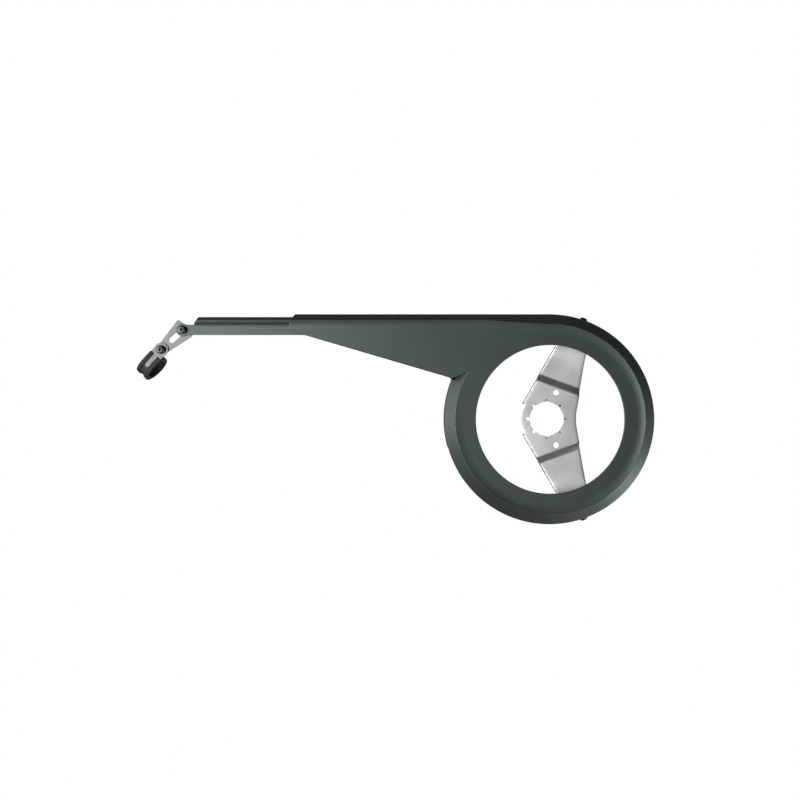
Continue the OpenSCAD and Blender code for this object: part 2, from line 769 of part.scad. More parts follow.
// Draws a section of reach (x) and depth behind the front ear (y), as a strip across the band.
module strip(width) translate([0, width / 2, 0]) rotate([90, 0, 0]) linear_extrude(width) mirror([0, 1]) children();

module band_section() {
    far = 4 * band_outer_r;
    translate([lips_from, 0]) square([clip_reach - lips_from, band_t]);
    difference() {
        translate(clip_centre) circle(band_outer_r);
        translate(clip_centre) circle(band_inner_r);
        polygon([
            clip_centre, clip_centre - far * [cos(neck_angle), sin(neck_angle)],
            clip_centre - far * [1, 1.5], clip_centre - [0, far]
        ]);
    }
    polygon(concat(neck_side(band_t / 2), reversed(neck_side(-band_t / 2))));
    translate([lips_from, band_t]) square([neck_x - lips_from + band_t * 0.8, band_t]);
}

// One side of the bend between the rear ear and the ring, with ends that run into both
bend_share = 0.6;
function neck_side(inward) = concat(
    [[neck_x - band_t, neck_depth - neck_r + inward * bend_share]],
    arc([neck_x, neck_depth], neck_r - inward, bend_first - 90, neck_angle - bend_last, bend_steps),
    [
        [neck_x, neck_depth] + (neck_r - inward * bend_share) * [cos(neck_angle), sin(neck_angle)]
            + 1.5 * band_t * [-sin(neck_angle), cos(neck_angle)]
    ]
);

module clip_band() {
    neck_start = lips_from + band_t;
    color(grey_steel) clip_frame() difference() {
        union() {
            translate([0, 0, -2 * band_t]) cylinder(r = ear_r, h = 2 * band_t);
            translate([0, -band_w / 2, -2 * band_t]) cube([neck_start, band_w, 2 * band_t]);
            twisted() strip(band_w) band_section();
        }
        translate([0, 0, -2 * band_t - over]) cylinder(r = bolt_r + bolt_gap, h = 2 * band_t + 2 * over);
    }
}

module clip_rubber() {
    groove_r = lip_r + over;
    color(black_rubber) clip_frame() twisted() difference() {
        strip(rubber_w) {
            translate(clip_centre) circle(lip_r);
            translate([neck_start_in, -lip_t]) square([clip_reach - neck_start_in, lip_t + 2 * band_t]);
        }
        strip(rubber_w + 2 * over) translate(clip_centre) circle(clip_bore_r);
        strip(band_w + 2 * rubber_gap) {
            difference() {
                translate(clip_centre) circle(band_outer_r + rubber_gap);
                translate(clip_centre) circle(band_inner_r - rubber_gap);
            }
            translate([0, -rubber_gap]) square([clip_reach, band_t + 2 * rubber_gap]);
            translate([0, -rubber_gap]) square([neck_x + 2 * neck_r, neck_depth + neck_r]);
        }
        strip(bare_w) {
            difference() {
                translate(clip_centre) circle(groove_r);
                translate(clip_centre) circle(band_outer_r);
            }
            translate([0, -groove_r]) square([clip_reach, groove_r]);
        }
    }
}
guard_shell();
bottom_bracket_plate();
rim_screw(bracket_angle);  // upper_rim_screw
rim_nut(bracket_angle);  // upper_rim_nut
rim_screw(-bracket_angle);  // lower_rim_screw
rim_nut(-bracket_angle);  // lower_rim_nut
extension_rail();
upper_bolt();
upper_washer();
upper_nut();
link_plate();
lower_bolt();
lower_washer();
lower_nut();
clip_band();
clip_rubber();
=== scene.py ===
"""Bicycle chain guard: moulded ring and arm, sliding rail, slotted link, lined clip and steel bracket.

All sizes are millimetres in the guard's drawing frame until a mesh is made: x runs forward, z up,
and "out" is the distance outboard of the bracket's face.
"""
import logging
from dataclasses import dataclass, field
from enum import Enum
from math import asin, atan2, cos, degrees, hypot, pi, radians, sin, sqrt, tan
from typing import Callable, Iterator, Optional, Sequence

import bmesh
import bpy
import numpy as np
from mathutils import Matrix, Vector
from mathutils.geometry import delaunay_2d_cdt


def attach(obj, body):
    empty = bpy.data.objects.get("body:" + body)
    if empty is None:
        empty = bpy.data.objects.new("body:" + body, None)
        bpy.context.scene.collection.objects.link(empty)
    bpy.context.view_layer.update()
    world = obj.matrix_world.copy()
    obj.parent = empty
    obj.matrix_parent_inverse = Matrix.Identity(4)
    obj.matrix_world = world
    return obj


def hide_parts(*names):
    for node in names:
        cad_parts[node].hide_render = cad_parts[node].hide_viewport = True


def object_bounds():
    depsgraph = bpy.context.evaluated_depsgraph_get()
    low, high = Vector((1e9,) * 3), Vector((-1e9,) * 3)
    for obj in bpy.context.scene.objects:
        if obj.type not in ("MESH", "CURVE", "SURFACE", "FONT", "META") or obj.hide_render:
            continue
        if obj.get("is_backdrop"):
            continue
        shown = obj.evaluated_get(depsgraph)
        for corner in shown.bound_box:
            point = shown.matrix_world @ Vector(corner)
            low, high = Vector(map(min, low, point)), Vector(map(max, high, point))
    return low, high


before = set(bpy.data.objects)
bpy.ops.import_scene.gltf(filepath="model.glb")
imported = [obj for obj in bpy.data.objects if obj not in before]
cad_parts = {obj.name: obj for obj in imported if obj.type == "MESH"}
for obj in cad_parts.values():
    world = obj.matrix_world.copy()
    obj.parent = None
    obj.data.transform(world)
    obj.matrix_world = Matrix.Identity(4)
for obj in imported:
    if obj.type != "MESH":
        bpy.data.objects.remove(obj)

logging.basicConfig(level=logging.INFO, format="%(message)s")
log = logging.getLogger("chain_guard")

MM = 0.001  # metres in a millimetre
SAME = 1e-7  # metres below which two corners are one
PATH_ROWS = 10  # places that carry a sheet's edge from its front skin to its back
ROOT = 0.8  # chamfer in millimetres where a wall meets the back skin
QUARTER = (0, 30, 60, 90)  # angles in degrees of the rows that round an edge's corner

Value = np.ndarray | float
Point = tuple[float, float]
Place = tuple[float, float, float]
Heights = Callable[[np.ndarray, np.ndarray], np.ndarray]
Rows = Callable[[int, int, Point], list[Point]]


class Body(Enum):
    """The bodies that move on their own."""

    GUARD = "guard"
    RAIL = "rail"
    PIVOT = "pivot"
    LINK = "link"
    CLIP = "clip"


class Edge(Enum):
    """How a sheet ends along a stretch of its outline."""

    CUT = "cut"
    WALL = "wall"
    TAB = "tab"


# Shared helpers for sections and meshes


def smooth(t: Value) -> np.ndarray:
    """A soft step from 0 to 1."""
    t = np.clip(t, 0.0, 1.0)
    return t * t * (3 - 2 * t)


def mix(a: float, b: float, share: Value) -> Value:
    """The value between a and b."""
    return a + (b - a) * share


def polar(r: float, angle: float) -> Point:
    """The point at a radius and an angle in degrees."""
    return r * cos(radians(angle)), r * sin(radians(angle))


def bearing(p: Point, centre: Point = (0.0, 0.0)) -> float:
    """The angle in degrees of a point seen from a centre."""
    return degrees(atan2(p[1] - centre[1], p[0] - centre[0]))


def turned(points: Sequence[Point], angle: float, at: Point = (0.0, 0.0)) -> list[Point]:
    """Points turned by an angle in degrees and moved from the origin to a place.

    Args:
        points: The points.
        angle: The angle.
        at: Where the origin goes.

    Returns:
        The new points.
    """
    c, s = polar(1.0, angle)
    return [(at[0] + x * c - y * s, at[1] + x * s + y * c) for x, y in points]


def arc(centre: Point, r: float, start: float, end: float, steps: int) -> list[Point]:
    """Points along an arc.

    Args:
        centre: The arc's centre.
        r: Its radius.
        start: First angle in degrees.
        end: Last angle in degrees.
        steps: Number of stretches between the points.

    Returns:
        steps + 1 points.
    """
    places = [polar(r, mix(start, end, i / steps)) for i in range(steps + 1)]
    return [(centre[0] + x, centre[1] + y) for x, y in places]


def round_hole(centre: Point, r: float, steps: int) -> list[Point]:
    """The outline of a round hole, clockwise."""
    return list(reversed(arc(centre, r, 0, 360, steps)[:-1]))


def line(a: Point, b: Point, step: float, last: bool = True) -> list[Point]:
    """Points along a straight line.

    Args:
        a: Its first point.
        b: Its last point.
        step: About how far apart the points are.
        last: Whether the last point is among them.

    Returns:
        The points in order.
    """
    count = max(1, round(hypot(b[0] - a[0], b[1] - a[1]) / step))
    shares = [i / count for i in range(count + (1 if last else 0))]
    return [(mix(a[0], b[0], share), mix(a[1], b[1], share)) for share in shares]


def rounded(corners: Sequence[Point], radii: Sequence[float], steps: int = 6) -> list[Point]:
    """A polygon with its corners rounded.

    Args:
        corners: The sharp corners in order.
        radii: A radius for each corner.
        steps: Stretches in each rounding.

    Returns:
        The points of the rounded polygon.
    """
    points: list[Point] = []
    count, straight = len(corners), pi / 2 - 0.01
    for i, corner in enumerate(corners):
        p = Vector(corner)
        a = (Vector(corners[i - 1]) - p).normalized()
        b = (Vector(corners[(i + 1) % count]) - p).normalized()
        half = a.angle(b) / 2
        r = radii[i]
        if r <= 0 or half > straight:
            points.append(corner)
            continue
        middle = p + (a + b).normalized() * (r / sin(half))
        reach = r / tan(half)
        start, end = p + a * reach, p + b * reach
        from_a = atan2(start.y - middle.y, start.x - middle.x)
        to_a = atan2(end.y - middle.y, end.x - middle.x)
        turn = (to_a - from_a + pi) % (2 * pi) - pi
        ways = [from_a + turn * k / steps for k in range(steps + 1)]
        points += [(middle.x + r * cos(way), middle.y + r * sin(way)) for way in ways]
    return points


def blurred(profile: Heights, width: float) -> Heights:
    """A profile with its creases rounded.

    Args:
        profile: The level across the sheet's edge.
        width: How far its creases are rounded.

    Returns:
        The rounded profile.
    """
    shifts = (-1.0, -0.6, -0.2, 0.2, 0.6, 1.0)

    def run(s: np.ndarray, *rest: np.ndarray) -> np.ndarray:
        """Mean of the profile round each place."""
        return sum(profile(s + k * width, *rest) for k in shifts) / len(shifts)

    return run


def level_at(skin: Heights, p: Point) -> float:
    """A skin's level at one point."""
    return float(skin(np.array([p[0]]), np.array([p[1]]))[0])


def add_object(name: str, data: bpy.types.ID) -> bpy.types.Object:
    """A new object, linked to the scene.

    Args:
        name: The object's name.
        data: Its mesh, lamp or camera.

    Returns:
        The object.
    """
    thing = bpy.data.objects.new(name, data)
    bpy.context.scene.collection.objects.link(thing)
    return thing


def make_object(
    name: str, verts: Sequence[Place], faces: Sequence[Sequence[int]], sharp: float = 32.0
) -> bpy.types.Object:
    """A mesh object from places in metres, shaded smooth up to an angle.

    Args:
        name: The piece's name.
        verts: Places in model metres.
        faces: Vertex numbers of each face.
        sharp: Angle in degrees beyond which an edge stays sharp.

    Returns:
        The new object, linked to the scene.
    """
    mesh = bpy.data.meshes.new(name)
    mesh.from_pydata([tuple(v) for v in verts], [], [tuple(f) for f in faces])
    mesh.validate()
    work = bmesh.new()
    work.from_mesh(mesh)
    bmesh.ops.remove_doubles(work, verts=work.verts, dist=SAME)
    bmesh.ops.dissolve_degenerate(work, edges=work.edges, dist=SAME)
    bmesh.ops.recalc_face_normals(work, faces=work.faces)
    work.to_mesh(mesh)
    work.free()
    mesh.shade_smooth()
    mesh.set_sharp_from_angle(angle=radians(sharp))
    return add_object(name, mesh)


def bridged(rings: Sequence[Sequence[int]]) -> list[tuple[int, ...]]:
    """Faces between neighbouring rings of vertex numbers.

    Args:
        rings: Rings of one size. A pole repeats one number.

    Returns:
        Quads, and triangles at a pole.
    """
    faces = []
    for a, b in zip(rings, rings[1:]):
        for k in range(len(a)):
            m = (k + 1) % len(a)
            faces.append(tuple(dict.fromkeys((a[k], a[m], b[m], b[k]))))
    return [face for face in faces if len(face) > 2]


def skinned(name: str, rings: Sequence[Sequence[Place]], sharp: float = 32.0) -> bpy.types.Object:
    """A solid drawn over closed rings of places, with flat ends.

    Args:
        name: The piece's name.
        rings: Rings of one size, in millimetres.
        sharp: Angle in degrees beyond which an edge stays sharp.

    Returns:
        The new object.
    """
    size = len(rings[0])
    numbers = [range(t * size, (t + 1) * size) for t in range(len(rings))]
    verts = [tuple(c * MM for c in p) for ring in rings for p in ring]
    ends = [tuple(numbers[-1]), tuple(reversed(numbers[0]))]
    return make_object(name, verts, bridged(numbers) + ends, sharp)


def from_drawing(points: np.ndarray) -> np.ndarray:
    """Model metres of drawing-frame places given as x, z and out."""
    return np.stack([points[:, 0], -points[:, 2], points[:, 1]], axis=1) * MM


def sides(loops: Sequence[np.ndarray]) -> Iterator[tuple[np.ndarray, np.ndarray]]:
    """Both ends of each side of the loops in turn.

    Args:
        loops: Closed loops of points.

    Returns:
        Pairs of points.
    """
    for loop in loops:
        yield from zip(loop, np.roll(loop, -1, axis=0))


def inside(points: np.ndarray, loops: Sequence[np.ndarray]) -> np.ndarray:
    """Which points lie inside the loops, by the even-odd rule.

    Args:
        points: The points.
        loops: Closed loops.

    Returns:
        True for each point inside.
    """
    hit = np.zeros(len(points), dtype=bool)
    for (ax, ay), (bx, by) in sides(loops):
        if ay == by:
            continue
        span = (points[:, 1] >= min(ay, by)) & (points[:, 1] < max(ay, by))
        cross = ax + (points[:, 1] - ay) * (bx - ax) / (by - ay)
        hit ^= span & (points[:, 0] < cross)
    return hit


def clear_of(points: np.ndarray, loops: Sequence[np.ndarray], gap: float) -> np.ndarray:
    """Which points lie well away from every loop.

    Args:
        points: The points.
        loops: Closed loops.
        gap: The least distance.

    Returns:
        True for each point further than the gap from every loop.
    """
    keep = np.ones(len(points), dtype=bool)
    for a, b in sides(loops):
        d = b - a
        size = float(d @ d)
        if size == 0:
            continue
        t = np.clip(((points - a) @ d) / size, 0, 1)
        near = a + t[:, None] * d
        keep &= ((points - near) ** 2).sum(axis=1) > gap * gap
    return keep


@dataclass
class Outline:
    """A piece's outline in its plan, anticlockwise, with the kind of edge at each point."""

    points: list[Point] = field(default_factory=list)
    kinds: list[Edge] = field(default_factory=list)

    def add(self, new: Sequence[Point], kind: Edge) -> None:
        """Adds points of one kind."""
        self.points.extend(new)
        self.kinds.extend([kind] * len(new))


@dataclass
class Sheet:
    """A pressed or moulded sheet drawn over its plan, with its edges carried round from front to back.

    front and back give the outboard level of each skin, and rows gives for each outline point the ten
    places (offset beyond the outline, out) that join them.
    """

    name: str
    loops: list[list[Point]]
    front: Heights
    back: Heights
    rows: Rows
    grid: list[Point] = field(default_factory=list)
    sharp: float = 32.0

    CLEAR = 0.3  # millimetres between the outline and the nearest place of the grid

    def normals(self, loop: np.ndarray) -> np.ndarray:
        """Directions in the plan that point out of the material.

        Args:
            loop: An outline, anticlockwise, or a hole, clockwise.

        Returns:
            A direction for each point.
        """
        ahead = np.roll(loop, -1, axis=0) - loop
        behind = loop - np.roll(loop, 1, axis=0)
        total = sum(way / np.linalg.norm(way, axis=1)[:, None] for way in (ahead, behind))
        total /= np.linalg.norm(total, axis=1)[:, None]
        return np.stack([total[:, 1], -total[:, 0]], axis=1)

    def skin(self, loops: list[np.ndarray], level: Heights) -> tuple[np.ndarray, list[tuple[int, int, int]]]:
        """One skin over the plan.

        Args:
            loops: The skin's edges.
            level: The skin's level.

        Returns:
            The skin's places, its loops' points first, and its triangles.
        """
        grid = np.array(self.grid or [(0.0, 0.0)])
        grid = grid[inside(grid, loops)]
        grid = grid[clear_of(grid, loops, self.CLEAR)]
        flat = np.concatenate(loops + [grid])
        edges, start = [], 0
        for loop in loops:
            edges += [(start + k, start + (k + 1) % len(loop)) for k in range(len(loop))]
            start += len(loop)
        places, _, faces, origin, _, _ = delaunay_2d_cdt([Vector(p) for p in flat], edges, [], 0, 1e-6, True)
        middles = np.array([np.mean([places[i] for i in f], axis=0) for f in faces])
        lookup = [o[0] if o else -1 for o in origin]
        extra = [i for i, o in enumerate(lookup) if o < 0]
        for k, i in enumerate(extra):
            lookup[i] = len(flat) + k
        if extra:
            flat = np.concatenate([flat, np.array([tuple(places[i]) for i in extra])])
        faces = [tuple(lookup[i] for i in f) for f, good in zip(faces, inside(middles, loops)) if good]
        return np.column_stack([flat, level(flat[:, 0], flat[:, 1])]), faces

    def build(self) -> bpy.types.Object:
        """Makes the closed piece.

        Returns:
            The object, without a material.
        """
        loops = [np.array(loop, dtype=float) for loop in self.loops]
        ways = [self.normals(loop) for loop in loops]
        rows = [
            np.array([self.rows(n, i, tuple(p)) for i, p in enumerate(loop)]) for n, loop in enumerate(loops)
        ]
        front_loops = [loop + way * row[:, 0, 0:1] for loop, way, row in zip(loops, ways, rows)]
        back_loops = [loop + way * row[:, -1, 0:1] for loop, way, row in zip(loops, ways, rows)]
        top, top_faces = self.skin(front_loops, self.front)
        low, low_faces = self.skin(back_loops, self.back)
        verts = [*top, *low]
        faces: list[tuple[int, ...]] = [*top_faces]
        faces += [tuple(len(top) + i for i in reversed(f)) for f in low_faces]
        start = 0
        for loop, way, row in zip(loops, ways, rows):
            count = len(loop)
            rings = [[start + i for i in range(count)]]
            for k in range(1, PATH_ROWS - 1):
                base = len(verts)
                flat = loop + way * row[:, k, 0:1]
                verts += [(*flat[i], row[i, k, 1]) for i in range(count)]
                rings.append([base + i for i in range(count)])
            rings.append([len(top) + start + i for i in range(count)])
            for a, b in zip(rings, rings[1:]):
                faces += [(a[i], b[i], b[(i + 1) % count], a[(i + 1) % count]) for i in range(count)]
            start += count
        return make_object(self.name, from_drawing(np.array(verts)), faces, self.sharp)


def rounding(out: float, r: float, way: int = 1) -> list[Point]:
    """Rows from a skin round to the side, for a skin that faces outboard (1) or inboard (-1)."""
    return [(-r + r * sin(radians(a)), out - way * r * (1 - cos(radians(a)))) for a in QUARTER]


def cut_rows(front: float, back: float, round_r: float) -> list[Point]:
    """Rows of a plain edge between two levels, with both corners rounded.

    Args:
        front: Level of the front skin.
        back: Level of the back skin.
        round_r: Radius of the corners.

    Returns:
        The ten places.
    """
    third = (front - back) / 3
    side = [(0.0, front - third), (0.0, back + third)]
    return rounding(front, round_r) + side + rounding(back, round_r, -1)[::-1]


def wall_rows(
    front: float, back: float, bottom: float, thick: float, round_r: float, root: float = ROOT
) -> list[Point]:
    """Rows of an edge that turns inboard into a wall and comes back up inside it.

    Args:
        front: Level of the front skin.
        back: Level of the back skin inside the wall.
        bottom: Level of the wall's inboard edge.
        thick: The wall's thickness.
        round_r: Radius of the front corner.
        root: Chamfer at the back skin.

    Returns:
        The ten places.
    """
    soft = 0.3
    return rounding(front, round_r) + [
        (0.0, bottom + soft), (-soft, bottom), (-thick + soft, bottom), (-thick, bottom + soft),
        (-thick, back - root), (-thick - root, back),
    ]


def lathe(name: str, section: Sequence[Point], steps: int = 64, sharp: float = 30.0) -> bpy.types.Object:
    """A turned piece along +z.

    Args:
        name: The piece's name.
        section: Radius and height, starting and ending on the axis.
        steps: Stretches round the axis.
        sharp: Angle in degrees beyond which an edge stays sharp.

    Returns:
        The new object.
    """
    verts: list[Place] = []
    rings: list[list[int]] = []
    angles = [2 * pi * k / steps for k in range(steps)]
    for r, h in section:
        if r < 1e-6:
            rings.append([len(verts)] * steps)
            verts.append((0.0, 0.0, h * MM))
            continue
        rings.append([len(verts) + k for k in range(steps)])
        verts += [(r * MM * cos(a), r * MM * sin(a), h * MM) for a in angles]
    return make_object(name, verts, bridged(rings), sharp)


def place(piece: bpy.types.Object, at: Place, axis: Place, turn: float = 0.0) -> bpy.types.Object:
    """Moves a piece's mesh from the origin to its place in the model.

    Args:
        piece: The piece.
        at: Its place in millimetres.
        axis: Where its +z points in the model.
        turn: Turn about its own axis in degrees.

    Returns:
        The same piece.
    """
    z = Vector(axis).normalized()
    side = Vector((1, 0, 0)) if abs(z.x) < 0.9 else Vector((0, 0, 1))
    x = (side - z * side.dot(z)).normalized()
    matrix = Matrix((x, z.cross(x), z)).transposed().to_4x4() @ Matrix.Rotation(radians(turn), 4, "Z")
    matrix.translation = Vector(at) * MM
    piece.data.transform(matrix)
    return piece


def merged(name: str, pieces: Sequence[bpy.types.Object]) -> bpy.types.Object:
    """One object from several.

    Args:
        name: The piece's name.
        pieces: The parts, which are removed.

    Returns:
        The whole piece.
    """
    bpy.ops.object.select_all(action="DESELECT")
    for piece in pieces:
        piece.select_set(True)
    bpy.context.view_layer.objects.active = pieces[0]
    bpy.ops.object.join()
    pieces[0].name = name
    pieces[0].data.name = name
    return pieces[0]


# Materials


class Nodes:
    """A short way to lay out one node tree."""

    def __init__(self, tree: bpy.types.NodeTree) -> None:
        """Keeps the tree that the nodes go into."""
        self.tree = tree

    def feed(self, socket: bpy.types.NodeSocket, value: object) -> None:
        """Joins a socket to another one, or sets its value.

        Args:
            socket: The socket.
            value: A socket to join it to, or a value.
        """
        if isinstance(value, bpy.types.NodeSocket):
            self.tree.links.new(value, socket)
        else:
            socket.default_value = value

    def add(self, kind: str, values: Optional[dict] = None, **settings: object) -> bpy.types.Node:
        """Adds a node.

        Args:
            kind: The node's type.
            values: A value or a socket for each named input.
            settings: The node's own settings.

        Returns:
            The node.
        """
        node = self.tree.nodes.new(kind)
        for key, value in settings.items():
            setattr(node, key, value)
        for key, value in (values or {}).items():
            self.feed(node.inputs[key], value)
        return node

    def math(self, kind: str, a: object, b: object, clamp: bool = False) -> bpy.types.NodeSocket:
        """A Math node on sockets or numbers.

        Args:
            kind: The operation.
            a: First number or socket.
            b: Second number or socket.
            clamp: Whether the result stays between 0 and 1.

        Returns:
            The result's socket.
        """
        return self.add("ShaderNodeMath", {0: a, 1: b}, operation=kind, use_clamp=clamp).outputs[0]

    def ramp(
        self, source: bpy.types.NodeSocket, low: float, high: float, out: Point = (0.0, 1.0)
    ) -> bpy.types.NodeSocket:
        """A soft range from one band of values to another.

        Args:
            source: The value.
            low: Where the range starts.
            high: Where it ends.
            out: The results at both ends.

        Returns:
            The result's socket.
        """
        values = {"Value": source, "From Min": low, "From Max": high, "To Min": out[0], "To Max": out[1]}
        return self.add("ShaderNodeMapRange", values, interpolation_type="SMOOTHSTEP").outputs["Result"]

    def blend(self, share: bpy.types.NodeSocket, a: object, b: object) -> bpy.types.NodeSocket:
        """A colour between two colours or sockets.

        Args:
            share: The second colour's share.
            a: First colour.
            b: Second colour.

        Returns:
            The colour's socket.
        """
        return self.add("ShaderNodeMix", {"Factor": share, 6: a, 7: b}, data_type="RGBA").outputs[2]

    def noise(
        self, where: bpy.types.NodeSocket, scale: object, detail: float, roughness: float = 0.5
    ) -> bpy.types.NodeSocket:
        """A cloud of noise from 0 to 1.

        Args:
            where: The coordinates.
            scale: Clouds in a metre, about.
            detail: Finer layers.
            roughness: Strength of the finer layers.

        Returns:
            The noise's socket.
        """
        values = {"Vector": where, "Scale": scale, "Detail": detail, "Roughness": roughness}
        return self.add("ShaderNodeTexNoise", values).outputs["Fac"]


def new_group(
    name: str, kind: str, inputs: dict[str, tuple[str, Optional[float]]], outputs: dict[str, str]
) -> tuple[bpy.types.NodeTree, Nodes]:
    """An empty node group with named sockets.

    Args:
        name: The group's name.
        kind: The tree's type.
        inputs: Type and first value of each input.
        outputs: Type of each output.

    Returns:
        The group, and the means to lay it out.
    """
    tree = bpy.data.node_groups.new(name, kind)
    for key, (sort, value) in inputs.items():
        socket = tree.interface.new_socket(key, in_out="INPUT", socket_type="NodeSocket" + sort)
        if value is not None:
            socket.default_value = value
    for key, sort in outputs.items():
        tree.interface.new_socket(key, in_out="OUTPUT", socket_type="NodeSocket" + sort)
    return tree, Nodes(tree)


def edge_wear_group() -> bpy.types.NodeTree:
    """Worn edges: a mask that is 1 along convex and hollow edges, broken up by noise.

    Returns:
        The group.
    """
    inputs = {"Radius": ("Float", 0.0004), "Amount": ("Float", 1.0), "Breakup": ("Float", 300.0)}
    tree, n = new_group("EdgeWear", "ShaderNodeTree", inputs, {"Mask": "Float"})
    source, out = n.add("NodeGroupInput"), n.add("NodeGroupOutput")
    bevel = n.add("ShaderNodeBevel", {"Radius": source.outputs["Radius"]}, samples=4)
    shape = n.add("ShaderNodeNewGeometry")
    normals = {0: bevel.outputs["Normal"], 1: shape.outputs["Normal"]}
    dot = n.add("ShaderNodeVectorMath", normals, operation="DOT_PRODUCT")
    worn = n.ramp(dot.outputs["Value"], 0.995, 0.93)
    where = n.add("ShaderNodeTexCoord").outputs["Object"]
    patches = n.ramp(n.noise(where, source.outputs["Breakup"], 3.0), 0.3, 0.62, (0.35, 1.0))
    broken = n.math("MULTIPLY", worn, patches)
    n.feed(out.inputs["Mask"], n.math("MULTIPLY", broken, source.outputs["Amount"], True))
    return tree


def grain_group() -> bpy.types.NodeTree:
    """Fine surface grain: two sizes of noise as a height, and a slow cloud for shade variation.

    Returns:
        The group.
    """
    inputs = {"Scale": ("Float", 2500.0), "Stretch": ("Float", 1.0), "Cloud": ("Float", 25.0)}
    tree, n = new_group("SurfaceGrain", "ShaderNodeTree", inputs, {"Height": "Float", "Cloud": "Float"})
    source, out = n.add("NodeGroupInput"), n.add("NodeGroupOutput")
    where = n.add("ShaderNodeTexCoord").outputs["Object"]
    pull = n.add("ShaderNodeCombineXYZ", {"X": 1.0, "Y": 1.0, "Z": source.outputs["Stretch"]})
    scaled = n.add("ShaderNodeVectorMath", {0: where, 1: pull.outputs[0]}, operation="MULTIPLY").outputs[0]
    fine = n.noise(scaled, source.outputs["Scale"], 2.0, 0.6)
    coarse = n.noise(scaled, n.math("MULTIPLY", source.outputs["Scale"], 0.3), 2.0)
    n.feed(out.inputs["Height"], n.math("ADD", fine, n.math("MULTIPLY", coarse, 0.7)))
    n.feed(out.inputs["Cloud"], n.noise(where, source.outputs["Cloud"], 4.0, 0.55))
    return tree


@dataclass(frozen=True)
class Finish:
    """One finish of the guard's pieces, as a Principled material."""

    name: str
    slot: str
    colour: tuple[float, float, float]
    worn: tuple[float, float, float]
    metallic: float
    roughness: float
    rough_spread: float
    shade_spread: float
    grain: float
    grain_depth: float
    stretch: float = 1.0
    cloud: float = 25.0
    wear: float = 0.5
    wear_radius: float = 0.0004
    specular: float = 0.5
    scratches: float = 0.0
    tint: tuple[float, float, float] = (1.0, 1.0, 1.0)

    def build(self, wear: bpy.types.NodeTree, grain: bpy.types.NodeTree) -> bpy.types.Material:
        """Makes the material from the shared groups.

        Args:
            wear: The edge wear group.
            grain: The surface grain group.

        Returns:
            The material.
        """
        material = bpy.data.materials.new(self.name)
        material.use_nodes = True
        material.node_tree.nodes.clear()
        n = Nodes(material.node_tree)
        gloss = {"Specular IOR Level": self.specular, "Specular Tint": (*self.tint, 1.0)}
        shader = n.add("ShaderNodeBsdfPrincipled", {"Metallic": self.metallic, **gloss})
        n.add("ShaderNodeOutputMaterial", {"Surface": shader.outputs[0]})
        sizes = {"Scale": self.grain, "Stretch": self.stretch, "Cloud": self.cloud}
        grains = n.add("ShaderNodeGroup", sizes, node_tree=grain)
        worn = n.add("ShaderNodeGroup", {"Radius": self.wear_radius, "Amount": self.wear}, node_tree=wear)
        dark, light = ((*(c * (1 + k * self.shade_spread) for c in self.colour), 1.0) for k in (-1, 1))
        shade = n.blend(n.ramp(grains.outputs["Cloud"], 0.3, 0.7), dark, light)
        n.feed(shader.inputs["Base Color"], n.blend(worn.outputs["Mask"], shade, (*self.worn, 1.0)))
        spread = (self.roughness - self.rough_spread, self.roughness + self.rough_spread)
        rough = n.ramp(grains.outputs["Cloud"], 0.25, 0.75, spread)
        if self.scratches > 0:
            where = n.add("ShaderNodeTexCoord").outputs["Object"]
            lie = {"Vector": where, "Rotation": (0.0, 0.5, 0.3), "Scale": (30.0, 30.0, 900.0)}
            marks = n.noise(n.add("ShaderNodeMapping", lie).outputs[0], 3.0, 5.0, 0.7)
            rough = n.math("ADD", rough, n.ramp(marks, 0.5, 0.75, (0.0, self.scratches)), True)
        n.feed(shader.inputs["Roughness"], rough)
        relief = {"Strength": 1.0, "Distance": self.grain_depth, "Height": grains.outputs["Height"]}
        n.feed(shader.inputs["Normal"], n.add("ShaderNodeBump", relief).outputs["Normal"])
        return material


